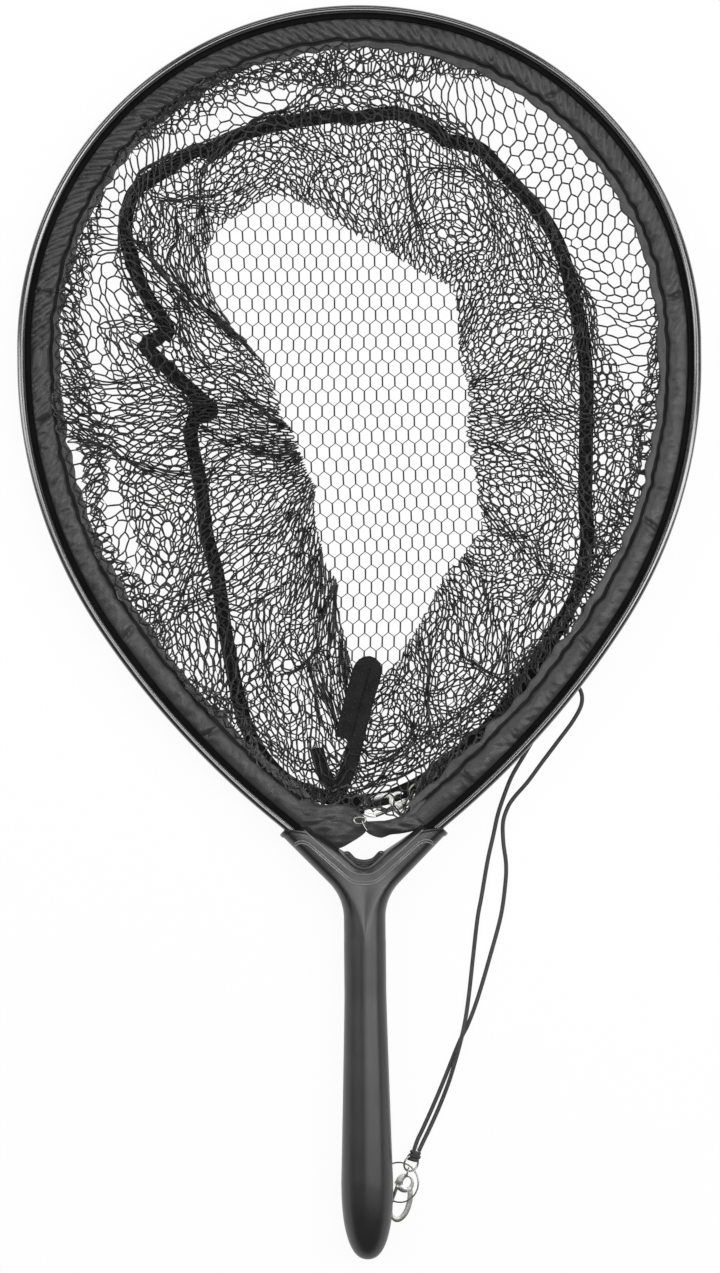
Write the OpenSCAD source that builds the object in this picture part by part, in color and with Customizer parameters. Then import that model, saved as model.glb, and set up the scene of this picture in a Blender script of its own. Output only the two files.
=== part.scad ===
// Landing net: teardrop hoop on a moulded handle, padded hem, folded net bag and elastic lanyard.
// It lies flat on its back, with the hoop towards +Y, the butt of the handle towards -Y and its
// front up. Millimetres. The origin is on the floor, in the middle of the length and the width.

/* [Overall] */
// Length from the crown of the hoop to the butt of the handle
net_length = 752; // [720:1:790]

/* [Hoop] */
// Widest measure across the hoop
hoop_width = 410; // [390:1:425]
// Straight run below the crown arc on each side
crown_run = 9.6; // [4:0.2:16]
// Radius of the side arcs
side_r = 288; // [270:1:310]
// Angle that each side arc turns through
side_angle = 33.4; // [31:0.2:36]
// Radius of the lower arcs
lower_r = 527; // [490:1:560]
// Slope of the hoop's straight ends, from the axis of the handle
arm_angle = 50; // [48:0.5:52]
// Width of the rim section, from its outer face to its lips
rim_w = 8; // [7.8:0.1:9]
// Depth of the rim section
rim_d = 12; // [10:0.2:13]
// Width of the rim's hollow outer tube
rim_tube_w = 5; // [4.6:0.1:5.2]
// Wall of the rim's outer tube
rim_wall = 1.1; // [0.8:0.1:1.4]
// Height of the lipped channel on the inside of the rim
channel_h = 6.4; // [5.6:0.2:7]
// Bore of the channel that holds the bead of the hem
channel_bore = 2.4; // [2.2:0.1:2.8]
// Opening between the lips of the channel
channel_slot = 1.4; // [1.2:0.1:1.8]
// Length of each hoop end inside its socket
socket_depth = 30; // [24:1:34]
// Clearance round the hoop ends in their sockets
socket_clearance = 0.15; // [0.1:0.05:0.3]

/* [Yoke] */
// Distance along the straight end of the hoop at which the outer corner of a socket lies
socket_start = 11; // [8:0.5:14]
// Material outside the rim at the socket
socket_outer_wall = 3.6; // [3:0.1:4.2]
// Material inside the rim at the socket
socket_inner_wall = 1.8; // [1.5:0.1:2.4]
// Slope of the outer edge of an arm, from the axis of the handle
arm_outer_angle = 44.5; // [43:0.5:46]
// Slope of the inner edge of an arm, from the axis of the handle
arm_inner_angle = 56; // [54:0.5:58]
// Slope of the cut at the end of an arm, from square across the handle
arm_cut_angle = 17; // [12:0.5:22]
// Radius of the fillet between an arm and the neck
neck_fillet = 30; // [26:0.5:34]
// Radius of the crotch between the arms
crotch_r = 12; // [10:0.5:14]
// Half of the depth of the yoke, at its flat front and back
yoke_half_d = 9.6; // [9:0.1:10.4]

/* [Handle] */
// Radius of the neck of the handle
neck_r = 12.6; // [12:0.1:13.4]
// Largest radius of the grip
grip_r = 15.6; // [15:0.1:16.4]
// Length of the straight neck below the fillets of the yoke
neck_run = 46; // [30:1:60]
// Length of the rounded butt
butt_length = 46; // [40:1:52]
// Wall of the hollow grip
grip_wall = 2.6; // [2:0.1:3.2]
// Gap along the seam between the two shells of the handle
seam_gap = 0.1; // [0.05:0.05:0.2]
// Radius of the shank of a handle screw
screw_r = 1.5; // [1.2:0.1:1.8]
// Radius of the head of a handle screw
screw_head_r = 2.8; // [2.4:0.1:3]
// Height of the head of a handle screw
screw_head_h = 2; // [1.6:0.1:2.2]
// Clearance round a screw
screw_clearance = 0.1; // [0.05:0.05:0.2]
// Thread of a screw in the front shell, past the seam
screw_bite = 6; // [5:0.5:6.5]

/* [Hem] */
// Width of the padded tube of the hem
hem_w = 11.5; // [10:0.1:13]
// Height of the padded tube of the hem
hem_h = 8; // [7:0.1:9]
// Width of the flat flange that the netting is sewn to
flange_w = 6; // [5:0.1:8]
// Thickness of the flange
flange_t = 1.6; // [1.2:0.1:2]
// Gap between the hem and the rim
hem_gap = 0.3; // [0.2:0.05:0.5]
// Diameter of the wire in the bead of the hem
hem_wire_d = 1.2; // [1:0.1:1.4]
// Gap between the wire and the cloth round it
wire_gap = 0.1; // [0.05:0.05:0.2]
// Thickness of the tongue of cloth between the bead and the tube
tongue_t = 0.8; // [0.6:0.1:1]
// Distance along the straight end of the hoop at which the hem leaves the rim
hem_run = 5; // [3:0.5:7]

/* [Bag] */
// Thickness of the folded side netting
netting_t = 0.8; // [0.6:0.1:1.2]
// Height of the inner fold of the side netting above the floor
fold_z = 9; // [7.5:0.1:10]
// Thickness of the bottom netting
bottom_t = 1.2; // [1:0.1:1.6]
// Pitch of the gaps in the bottom netting
mesh_pitch = 20; // [19:0.2:24]
// Width of a strand of the bottom netting
strand_w = 1.8; // [1.2:0.1:2.6]
// Width of the tape that binds the bottom netting
tape_w = 9; // [7:0.5:11]
// Thickness of the tape
tape_t = 1.4; // [1:0.1:1.6]
// Gap between pieces of cloth that lie on each other
cloth_gap = 0.25; // [0.15:0.05:0.4]

/* [Lanyard] */
// Diameter of the elastic cord
cord_d = 2.5; // [2:0.1:2.6]
// Diameter of a knot
knot_d = 6.8; // [6:0.1:7.2]
// Outer diameter of the small rings
small_ring_d = 11; // [10.6:0.1:11.6]
// Wire of the small rings
small_ring_wire = 1.2; // [1:0.1:1.3]
// Outer diameter of the split ring
split_ring_d = 25.4; // [24:0.1:26]
// Wire of the split ring, across both of its turns
split_ring_wire = 1.4; // [1.2:0.1:1.5]
// Length of a clasp below its eye
clasp_length = 32; // [30:0.5:34]
// Width of a clasp
clasp_w = 14; // [13:0.2:14.6]
// Thickness of a clasp
clasp_t = 2.4; // [2.3:0.1:2.6]
// Thickness of a gate
gate_t = 1; // [0.8:0.1:1]
// Clearance between a gate and the slot that it turns in
gate_clearance = 0.1; // [0.05:0.05:0.15]
// Diameter of a gate pin
pin_d = 1; // [0.8:0.1:1.1]
// Running clearance of a gate on its pin
pin_clearance = 0.05; // [0.03:0.01:0.08]

/* [Hidden] */
$fn = 48;

// Line of the hoop's outer face, from the crown down the right side
crown_r = hoop_width / 2;
crown_y = net_length / 2 - crown_r;
side_c = [crown_r - side_r, crown_y - crown_run];
lower_c = side_c + (side_r - lower_r) * [cos(side_angle), -sin(side_angle)];
end_start = lower_c + lower_r * [cos(arm_angle), -sin(arm_angle)];
end_way = [-sin(arm_angle), -cos(arm_angle)];
end_out = [cos(arm_angle), -sin(arm_angle)];
lower_angle = arm_angle - side_angle;
mid_z = grip_r;
end_run = socket_start + socket_depth;
butt_y = -net_length / 2;
far = 1000;

function along_end(run, inset) = end_start + run * end_way - inset * end_out;
function radians(degrees) = degrees * PI / 180;
function unit(v) = v / norm(v);
function mirrored(points) = [for (p = points) [-p.x, p.y]];
function reversed(points) = [for (i = [len(points) - 1 : -1 : 0]) points[i]];

// Point of the right half, at a distance from the crown along the outer face, moved in by inset
crown_len = crown_r * PI / 2;
side_len = side_r * radians(side_angle);
lower_len = lower_r * radians(lower_angle);
half_len = crown_len + crown_run + side_len + lower_len + hem_run;
function on_arc(c, r, angle) = c + r * [cos(angle), sin(angle)];
function rim_point(d, inset) =
    d < crown_len
        ? on_arc([0, crown_y], crown_r - inset, 90 - 90 * d / crown_len)
    : d < crown_len + crown_run
        ? [crown_r - inset, crown_y - (d - crown_len)]
    : d < crown_len + crown_run + side_len
        ? on_arc(side_c, side_r - inset, -side_angle * (d - crown_len - crown_run) / side_len)
    : d < half_len - hem_run
        ? on_arc(lower_c, lower_r - inset,
                 -side_angle - lower_angle * (d - half_len + hem_run + lower_len) / lower_len)
    : along_end(d - half_len + hem_run, inset);

// Sweep of a section along the hoop; the section's x is 0 at the outer face and negative inside it.
// The second child is the same section, thinner by joint_step, and laps into the lengths beside it.
joint_step = 0.02;
joint_lap = 0.2;
lap_angle = joint_lap / radians(side_r);
module along_hoop(run) {
    translate([0, crown_y, mid_z]) rotate_extrude(angle = 180) translate([crown_r, 0]) children(0);
    for (side = [0, 1]) mirror([side, 0, 0]) {
        translate([crown_r, crown_y, mid_z]) rotate([90, 0, 0])
            linear_extrude(crown_run) children(0);
        translate([side_c.x, side_c.y, mid_z]) rotate(-side_angle - lap_angle)
            rotate_extrude(angle = side_angle + 2 * lap_angle) translate([side_r, 0]) children(1);
        translate([lower_c.x, lower_c.y, mid_z]) rotate(-arm_angle)
            rotate_extrude(angle = lower_angle) translate([lower_r, 0]) children(0);
        straight_end(-joint_lap, run) children(1);
    }
}
module straight_end(from, to) {
    translate([end_start.x, end_start.y, mid_z]) rotate(-arm_angle) rotate([90, 0, 0])
        translate([0, 0, from]) linear_extrude(to - from) children();
}

// Hoop: a hollow tube with a lipped channel on its inside
lip_t = 0.4;
channel_x = -rim_w + lip_t + channel_bore / 2;
module stadium(w, d) {
    square([w, d - w], center = true);
    for (s = [-1, 1]) translate([0, s * (d - w) / 2]) circle(d = w);
}
module rim_outside(grow) {
    translate([-rim_tube_w / 2, 0]) stadium(rim_tube_w + 2 * grow, rim_d + 2 * grow);
    translate([-rim_w - grow, -channel_h / 2 - grow])
        square([rim_w - rim_tube_w / 2 + grow, channel_h + 2 * grow]);
}
module rim_section(thin) {
    difference() {
        rim_outside(-thin);
        translate([-rim_tube_w / 2, 0])
            stadium(rim_tube_w - 2 * rim_wall + 2 * thin, rim_d - 2 * rim_wall + 2 * thin);
        translate([channel_x, 0]) circle(d = channel_bore + 2 * thin);
        translate([-rim_w - 1, -channel_slot / 2 - thin])
            square([channel_x + rim_w + 1, channel_slot + 2 * thin]);
    }
}
module hoop() {
    color([0.07, 0.07, 0.08])
    difference() {
        along_hoop(end_run) {
            rim_section(0);
            rim_section(joint_step);
        }
        rim_screw_places() cylinder(r = screw_r + screw_clearance, h = rim_d + 2, center = true);
    }
}

// Handle: outline of the yoke, moved in by e, as lines that meet and arcs that touch them
socket_outer = along_end(socket_start, -socket_outer_wall);
out_n = [cos(arm_outer_angle), -sin(arm_outer_angle)];
cut_n = [sin(arm_cut_angle), cos(arm_cut_angle)];
in_n = [-cos(arm_inner_angle), sin(arm_inner_angle)];
socket_inner = meet(socket_outer, cut_n, along_end(0, rim_w + socket_inner_wall), end_out);
tuck = 0.1;
tucked_r = neck_r - tuck;
fillet_c = [tucked_r + neck_fillet, socket_outer.y
    + ((tucked_r + neck_fillet - socket_outer.x) * out_n.x - neck_fillet) / -out_n.y];
crotch_c = [0, socket_inner.y + (crotch_r + socket_inner.x * in_n.x) / in_n.y];
yoke_low = fillet_c.y - 2;
arc_steps = 6;

// Where the line through p square to n meets the line through q square to m
function meet(p, n, q, m) =
    let (a = p * n, b = q * m, k = n.x * m.y - n.y * m.x)
    [(a * m.y - b * n.y) / k, (b * n.x - a * m.x) / k];
function yoke_half(e) = concat(
    [[tucked_r - e, yoke_low]],
    [for (i = [0 : arc_steps])
        on_arc(fillet_c, neck_fillet + e, 180 - arm_outer_angle * i / arc_steps)],
    [meet(socket_outer - e * out_n, out_n, socket_outer - e * cut_n, cut_n),
     meet(socket_inner - e * cut_n, cut_n, socket_inner - e * in_n, in_n)],
    [for (i = [0 : arc_steps])
        on_arc(crotch_c, crotch_r + e, -arm_inner_angle
               - (90 - arm_inner_angle) * i / (arc_steps + 1))]);
function yoke_outline(e) = concat(yoke_half(e), [crotch_c - [0, crotch_r + e]],
                                  reversed(mirrored(yoke_half(e))));
// Triangles that close the outline: each arm between its outer and inner edges, then the neck
half_n = arc_steps + 3;
mid_i = 2 * half_n - 1;
end_i = 2 * mid_i;
yoke_cap = concat([[end_i, 0, mid_i]],
    [for (j = [0 : half_n - 2], t = [[j, j + 1, mid_i - j - 1], [j, mid_i - j - 1, mid_i - j],
                                     [end_i - j, mid_i + j, mid_i + j + 1],
                                     [end_i - j, mid_i + j + 1, end_i - j - 1]]) t]);
yoke_levels = [0, 0.45, 0.79, 1];
round_reach = 80;
blend_run = 30;
function round_in(z) = neck_r - sqrt(neck_r * neck_r - z * z);
// Share of the round neck in the section at y: none in the arms, all at the bottom of the fillets
function neck_share(y) =
    let (t = min(max((fillet_c.y + blend_run - y) / blend_run, 0), 1)) t * t * (3 - 2 * t);
function yoke_point(i, level) =
    let (b = neck_share(yoke_outline(0)[i].y),
         z = (1 - b) * level * yoke_half_d + b * tucked_r * sin(round_reach * level),
         e = (1 - b) * round_in(level * yoke_half_d) + b * tucked_r * (1 - cos(round_reach * level)),
         p = yoke_outline(e)[i])
    [p.x, p.y, max(z, seam_gap / 2)];

// Closed solid through loops of as many points each, with flat ends made of the triangles in cap
function fan(n) = [for (i = [1 : n - 2]) [0, i, i + 1]];
module skin(loops, cap) {
    n = len(loops[0]);
    last = (len(loops) - 1) * n;
    polyhedron(
        points = [for (loop = loops) each loop],
        faces = concat(
            cap,
            [for (t = cap) [last + t[2], last + t[1], last + t[0]]],
            [for (k = [0 : len(loops) - 2], i = [0 : n - 1])
                [k * n + i, (k + 1) * n + (i + 1) % n, k * n + (i + 1) % n]],
            [for (k = [0 : len(loops) - 2], i = [0 : n - 1])
                [k * n + i, (k + 1) * n + i, (k + 1) * n + (i + 1) % n]]),
        convexity = 8);
}
module yoke_shell() {
    translate([0, 0, mid_z])
        skin([for (level = yoke_levels) [for (i = [0 : end_i]) yoke_point(i, level)]], yoke_cap);
}

// Grip: a round profile that swells from the neck and ends in a full butt
neck_top = yoke_low + 0.2;
neck_low = fillet_c.y - neck_run;
widest_y = butt_y + butt_length;
butt_power = 2.4;
profile_steps = 10;
function swell(s) = neck_r + (grip_r - neck_r) * s * s * (3 - 2 * s);
function butt(s) = grip_r * pow(1 - pow(s, butt_power), 1 / butt_power);
function grip_profile(inset) = concat(
    [[0, neck_top], [neck_r - inset, neck_top]],
    [for (i = [0 : profile_steps])
        [swell(i / profile_steps) - inset, neck_low + (widest_y - neck_low) * i / profile_steps]],
    [for (i = [1 : profile_steps - 1])
        let (s = sin(90 * i / profile_steps))
        [butt(s) * (1 - inset / grip_r), widest_y - (butt_length - inset) * s]],
    [[0, butt_y + inset]]);
module grip_solid(inset) {
    translate([0, 0, mid_z]) rotate([90, 0, 0]) mirror([0, 0, 1])
        rotate_extrude() polygon(grip_profile(inset));
}
cavity_top = fillet_c.y - 14;
module handle_cavity() {
    intersection() {
        grip_solid(grip_wall);
        translate([-far / 2, cavity_top - far, 0]) cube(far);
    }
}
module sockets() {
    for (side = [0, 1]) mirror([side, 0, 0])
        straight_end(0, end_run + socket_clearance) rim_outside(socket_clearance);
}

// Screws: three along the grip and one through each hoop end
screw_ys = [cavity_top - 18, (cavity_top + widest_y) / 2, widest_y - 8];
rim_screw_back = 10;
rim_screw = along_end(end_run - rim_screw_back, rim_tube_w / 2);
boss_wall = 2;
boss_r = screw_r + boss_wall;
head_margin = 0.6;
head_seat = rim_d / 2 + head_margin;
slot_w = 0.8;
slot_l = 3.2;
slot_deep = 0.8;
module rim_screw_places() {
    for (side = [-1, 1]) translate([side * rim_screw.x, rim_screw.y, mid_z]) children();
}
module grip_screw_places() {
    for (y = screw_ys) translate([0, y, mid_z]) children();
}
module screw_places() {
    rim_screw_places() children();
    grip_screw_places() children();
}
module screw_bosses() {
    intersection() {
        grip_screw_places() cylinder(r = boss_r, h = 4 * grip_r, center = true);
        grip_solid(grip_wall / 2);
    }
}
module front_half() {
    intersection() {
        children();
        translate([-far / 2, -far / 2, mid_z + seam_gap / 2]) cube(far);
    }
}
module handle_shell() {
    difference() {
        union() {
            yoke_shell();
            front_half() grip_solid(0);
        }
        handle_cavity();
        sockets();
    }
    front_half() screw_bosses();
}
module handle_front() {
    color([0.25, 0.25, 0.26])
    difference() {
        handle_shell();
        screw_places() cylinder(r = screw_r + screw_clearance, h = screw_bite + 0.5);
    }
}
module handle_rear() {
    color([0.22, 0.22, 0.23])
    difference() {
        translate([0, 0, 2 * mid_z]) mirror([0, 0, 1]) handle_shell();
        screw_places() {
            translate([0, 0, -far]) cylinder(r = screw_r + screw_clearance, h = far);
            translate([0, 0, -head_seat - far])
                cylinder(r = screw_head_r + screw_clearance, h = far);
        }
    }
}
module handle_screws() {
    color("silver")
    screw_places() {
        translate([0, 0, -head_seat - screw_clearance])
            cylinder(r = screw_r, h = head_seat + screw_clearance + screw_bite);
        translate([0, 0, -head_seat - screw_clearance - screw_head_h])
            difference() {
                cylinder(r = screw_head_r, h = screw_head_h);
                for (turn = [0, 90]) rotate(turn)
                    cube([slot_w, slot_l, 2 * slot_deep], center = true);
            }
    }
}

// Hem: a padded tube of cloth with a flat flange, and a bead that the channel of the rim holds
hem_outer = -rim_w - hem_gap;
flange_outer = hem_outer - hem_w;
hem_reach = rim_w + hem_gap + hem_w + flange_w;
bead_cloth = 0.3;
bead_d = hem_wire_d + 2 * (wire_gap + bead_cloth);
module hem_section(thin) {
    difference() {
        union() {
            translate([hem_outer - hem_w / 2, 0]) rotate(90)
                stadium(hem_h - 2 * thin, hem_w - 2 * thin);
            translate([-hem_reach + thin, -flange_t / 2 + thin])
                square([flange_w + hem_h / 2, flange_t - 2 * thin]);
            translate([hem_outer - hem_h / 2, -tongue_t / 2 + thin])
                square([channel_x - hem_outer + hem_h / 2, tongue_t - 2 * thin]);
            translate([channel_x, 0]) circle(d = bead_d - 2 * thin);
        }
        translate([channel_x, 0]) circle(d = hem_wire_d + 2 * wire_gap + 2 * thin);
    }
}
module hem() {
    color([0.2, 0.2, 0.21])
    along_hoop(hem_run) {
        hem_section(0);
        hem_section(joint_step);
    }
}
module hem_wire() {
    color("silver")
    along_hoop(hem_run) {
        translate([channel_x, 0]) circle(d = hem_wire_d);
        translate([channel_x, 0]) circle(d = hem_wire_d - 2 * joint_step);
    }
}

// Loose ends of the hem, which run on from the hem along the arms of the yoke to the neck
sag_r = hem_h / 2;
sag_start = along_end(hem_run + hem_gap + sag_r, rim_w + hem_gap + hem_w / 2);
arm_way = [-sin(arm_inner_angle), -cos(arm_inner_angle)];
left_tip_x = 5.5;
right_tip_x = 4.5;
sag_run = 16;
sag_rise = 5;
sag_drop = 1;
sag_mid = socket_inner + sag_run * arm_way + (sag_r + hem_gap) * in_n;
module sagging_end(tip_x) {
    hull() {
        translate([sag_start.x, sag_start.y, mid_z]) sphere(sag_r, $fn = 20);
        translate([sag_mid.x, sag_mid.y, mid_z]) sphere(sag_r, $fn = 20);
        translate([tip_x, sag_mid.y + sag_rise, mid_z - sag_drop])
            sphere(sag_r - sag_drop, $fn = 20);
    }
}
module hem_ends() {
    color([0.16, 0.16, 0.17]) {
        mirror([1, 0, 0]) sagging_end(left_tip_x);
        sagging_end(right_tip_x);
    }
}

bag_back = 51;
// Bag: reaches of the window in the folded netting and of the tape, about the bag's middle, by angle
bag_c = [0, crown_y - bag_back];
window_reach = [[-180, 36], [-131, 41], [-98, 94], [-90, 154], [-82, 141], [-73, 118], [-65, 102],
    [-56, 95], [-40, 92], [-24, 75], [-3, 63], [37, 76], [58, 102], [71, 103], [89, 115], [101, 139],
    [108, 153], [125, 149], [135, 132], [138, 103], [146, 60], [180, 36]];
tape_reach = [[-180, 101], [-162, 102], [-135, 122], [-122, 150], [-115, 173], [-109, 188],
    [-103, 198], [-97, 203], [-91, 200], [-86, 194], [-77, 184], [-65, 173], [-50, 164], [-33, 158],
    [-18, 143], [4, 137], [16, 141], [34, 155], [49, 171], [62, 180], [70, 185], [83, 193],
    [94, 192], [112, 194], [125, 196], [133, 199], [139, 185], [144, 166], [151, 133], [158, 138],
    [170, 91], [180, 101]];
function angle_of(p) = atan2(p.y - bag_c.y, p.x - bag_c.x);
function reach_point(table, angle, more) = on_arc(bag_c, lookup(angle, table) + more, angle);

// Side netting: from the flange in to the fold, and back out below to the tape, with a grid of openings
netting_strips = 11;
netting_bar = 1.6;
sewn_under = 3;
sewn_inset = hem_reach - sewn_under;
neck_back = 6;
neck_edge = [0, along_end(hem_run, 0).y + neck_back];
strip_len = half_len / netting_strips;
strip_runs = concat(
    [for (i = [0 : netting_strips - 1]) each [i * strip_len + netting_bar, (i + 0.5) * strip_len,
                                              (i + 1) * strip_len - netting_bar]],
    [half_len]);
sewn_half = [for (run = strip_runs) rim_point(run, sewn_inset)];
sewn_loop = concat(reversed(sewn_half), [for (p = sewn_half) [-p.x, p.y]], [neck_edge]);
tape_z = bottom_t + cloth_gap;
netting_low = tape_z + tape_t + cloth_gap;
netting_high = mid_z - flange_t / 2 - cloth_gap;
function at_height(points, z) = [for (p = points) [p.x, p.y, z]];
function reach_loop(table, more) = [for (p = sewn_loop) reach_point(table, angle_of(p), more)];
function between_loops(a, b, share) = [for (i = [0 : len(a) - 1]) a[i] + share * (b[i] - a[i])];
fold_depth = 3;
fold_half = 0.1;
front_shares = [0, 0.05, 0.47, 0.53, 0.95, 1];
back_shares = [0, 0.07, 0.93, 1];
fold_row = len(front_shares) - 1;
open_rows = [1, 3, fold_row + 2];
fold_out = reach_loop(window_reach, 0);
fold_in = reach_loop(window_reach, fold_depth);
tape_loop = reach_loop(tape_reach, 0);
outer_loops = concat(
    [for (share = front_shares)
        between_loops(at_height(sewn_loop, netting_high), at_height(fold_out, fold_z + netting_t), share)],
    [for (share = back_shares)
        between_loops(at_height(fold_out, fold_z - netting_t), at_height(tape_loop, netting_low), share)]);
inner_loops = concat(
    [for (share = front_shares)
        between_loops(at_height(sewn_loop, netting_high - netting_t),
                      at_height(fold_in, fold_z + fold_half), share)],
    [for (share = back_shares)
        between_loops(at_height(fold_in, fold_z - fold_half),
                      at_height(tape_loop, netting_low + netting_t), share)]);
netting_around = len(sewn_loop);
netting_rows = len(outer_loops) - 1;
half_lines = len(strip_runs);
// A cell is open between two bars of a strip, in the open rows, and never at the neck or the crown
function line_in_half(i) = i < half_lines ? half_lines - 2 - i : i - half_lines;
function cell_open(row, i) =
    len(search(row, open_rows)) > 0 && i != half_lines - 1 && i < 2 * half_lines - 1
    && line_in_half(i) >= 0 && line_in_half(i) < half_lines - 1 && line_in_half(i) % 3 != 2;
function cell_solid(row, i) =
    row >= 0 && row < netting_rows && !cell_open(row, (i + netting_around) % netting_around);
function outer_at(row, i) = row * netting_around + i % netting_around;
function inner_at(row, i) = (netting_rows + 1) * netting_around + outer_at(row, i);
function cell_faces(row, i) =
    let (a = outer_at(row, i), b = outer_at(row, i + 1), c = outer_at(row + 1, i),
         d = outer_at(row + 1, i + 1), e = inner_at(row, i), f = inner_at(row, i + 1),
         g = inner_at(row + 1, i), h = inner_at(row + 1, i + 1))
    concat([[a, d, b], [a, c, d], [e, f, h], [e, h, g]],
           cell_solid(row - 1, i) ? [] : [[e, b, f], [e, a, b]],
           cell_solid(row + 1, i) ? [] : [[c, h, d], [c, g, h]],
           cell_solid(row, i - 1) ? [] : [[c, a, e], [c, e, g]],
           cell_solid(row, i + 1) ? [] : [[b, d, h], [b, h, f]]);
module side_netting() {
    color([0.3, 0.3, 0.31])
    polyhedron(
        points = concat([for (loop = outer_loops) each loop], [for (loop = inner_loops) each loop]),
        faces = [for (row = [0 : netting_rows - 1], i = [0 : netting_around - 1])
            if (cell_solid(row, i)) each cell_faces(row, i)],
        convexity = 12);
}

// Bottom netting: a flat net of six-sided gaps inside the tape
outline_angles = [for (pair = tape_reach) if (pair[0] > -180) pair[0]];
net_edge = [for (a = outline_angles) reach_point(tape_reach, a, tape_w / 2 - 1)];
gap_r = (mesh_pitch - strand_w) / sqrt(3);
row_step = mesh_pitch * sqrt(3) / 2;
net_rows = ceil(hoop_width / row_step);
function within(p, margin) = norm(p - bag_c) < lookup(angle_of(p), tape_reach) - margin;
gap_centres = [for (row = [-net_rows : net_rows], col = [-net_rows : net_rows])
    let (p = bag_c + [(col + (row % 2 == 0 ? 0 : 0.5)) * mesh_pitch, row * row_step])
    if (within(p, tape_w / 2 + gap_r + 1)) p];
module bottom_netting() {
    color([0.35, 0.35, 0.36])
    linear_extrude(bottom_t)
    polygon(
        points = concat(net_edge, [for (p = gap_centres, i = [0 : 5])
            on_arc(p, gap_r, 30 + 60 * i)]),
        paths = concat([[for (i = [0 : len(net_edge) - 1]) i]],
            [for (g = [0 : len(gap_centres) - 1])
                [for (i = [0 : 5]) len(net_edge) + 6 * g + i]]));
}
module bottom_tape() {
    color([0.08, 0.08, 0.09])
    translate([0, 0, tape_z]) linear_extrude(tape_t)
    difference() {
        polygon([for (a = outline_angles) reach_point(tape_reach, a, tape_w / 2)]);
        polygon([for (a = outline_angles) reach_point(tape_reach, a, -tape_w / 2)]);
    }
}

// Neck tape: the end of the side seam, folded on itself and standing up at the neck
neck_tape_start = 30;
neck_tape_len = 56;
neck_tape_lean = 7;
neck_tape_aside = 4;
neck_tape_sunk = 1.35;
neck_tape_low = [-neck_tape_aside, neck_edge.y + neck_tape_start];
neck_tape_top = neck_tape_low + [neck_tape_lean, neck_tape_len];
neck_tape_z = netting_high - neck_tape_sunk;
module neck_tape() {
    color([0.08, 0.08, 0.09])
    translate([0, 0, neck_tape_z]) linear_extrude(2 * tape_t)
    polygon([neck_tape_low + [-tape_w, 0], neck_tape_low + [tape_w / 2, 0],
             neck_tape_top + [tape_w * 0.6, -4], neck_tape_top + [tape_w * 0.3, 0],
             neck_tape_top + [-tape_w * 0.4, -2], neck_tape_top + [-tape_w * 0.7, -12]]);
}

// Rings and knots: a small ring stands tilted on the line from the eye of its clasp to its knot
small_r = (small_ring_d - small_ring_wire) / 2;
split_r = (split_ring_d - split_ring_wire) / 2;
ring_z = 5.2;
ring_tilt = 34;
lower_eye = [grip_r + 8.9, butt_y + 51.7];
lower_clasp_turn = -13.6;
lower_clasp_lift = 0;
lower_ring_way = unit([3, 6.6]);
upper_eye = [28.5, neck_edge.y + 8.45];
upper_clasp_turn = -76;
upper_clasp_lift = 3.6;
upper_ring_way = unit([6, 7]);
split_c = [grip_r + 3.8, butt_y + 44.8];
split_tilt = 20;
split_low_z = split_ring_wire / 2 + 0.15;
eye_r = 2.5;
eye_back = 0.6;
eye_wire = 1;
knot_gap = 0.3;

module torus(mean_r, wire) {
    rotate_extrude() translate([mean_r, 0]) circle(d = wire);
}
function ring_centre(eye, way) = concat(eye + way * small_r, [ring_z]);
module small_ring_place(eye, way) {
    c = ring_centre(eye, way);
    translate(c) rotate(atan2(way.y, way.x) - 90) rotate([0, ring_tilt, 0]) children();
}
module small_ring(eye, way) {
    color("silver") small_ring_place(eye, way) torus(small_r, small_ring_wire);
}
module knot(eye, way) {
    c = ring_centre(eye, way) + small_r * [way.x, way.y, 0];
    color([0.15, 0.15, 0.16])
    difference() {
        translate(c) sphere(d = knot_d);
        small_ring_place(eye, way) torus(small_r, small_ring_wire + 2 * knot_gap);
    }
}
module upper_ring() { small_ring(upper_eye, upper_ring_way); }
module lower_ring() { small_ring(lower_eye, lower_ring_way); }
module upper_knot() { knot(upper_eye, upper_ring_way); }
module lower_knot() { knot(lower_eye, lower_ring_way); }
module split_ring() {
    color("gainsboro")
    translate([split_c.x, split_c.y, split_low_z + split_r * sin(split_tilt)])
        rotate([0, -split_tilt, 0]) torus(split_r, split_ring_wire);
}

// Clasps: a hook with an oval hole in its head, and a gate that turns on a pin in the head
clasp_z = 0.15;
hook_a = clasp_w / 2;
hook_b = 13;
hook_c = [0, hook_b - clasp_length];
head_c = [0, -8];
head_r = 5.6;
hook_arm = 2.9;
pin_place = [-3.7, -10];
hub_r = 1.5;
gate_w = 2;
gate_inset = 0.5;
gate_gap = 0.3;
tip_gap = 0.6;
pin_sunk = 0.1;
spring_corner = [-2.4, 0.4];
spring_size = [0.5, 1.6, 0.6];
slot_h = gate_t + 2 * gate_clearance;
slot_corner = [-3.3, -4.2];
slot_size = [5.6, 6.4];
tip_y = hook_c.y - 5;
function oval(c, a, b) = [for (i = [0 : 31]) c + [a * cos(i * 11.25), b * sin(i * 11.25)]];
module clasp_place(eye, turn, lift, flip) {
    translate([eye.x, eye.y, clasp_z]) rotate(turn) mirror([flip ? 1 : 0, 0, 0])
        rotate([-lift, 0, 0]) children();
}
module gate_hub(grow) {
    translate(pin_place) circle(r = hub_r + grow);
}
module gate_bar(grow) {
    polygon([pin_place + [-hub_r * 0.8 - grow, 0], pin_place + [hub_r * 0.5 + grow, 0],
             [-hook_a + gate_w + gate_inset + grow, tip_y + tip_gap - grow],
             [-hook_a + gate_inset - grow, tip_y + tip_gap - grow]]);
}
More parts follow.
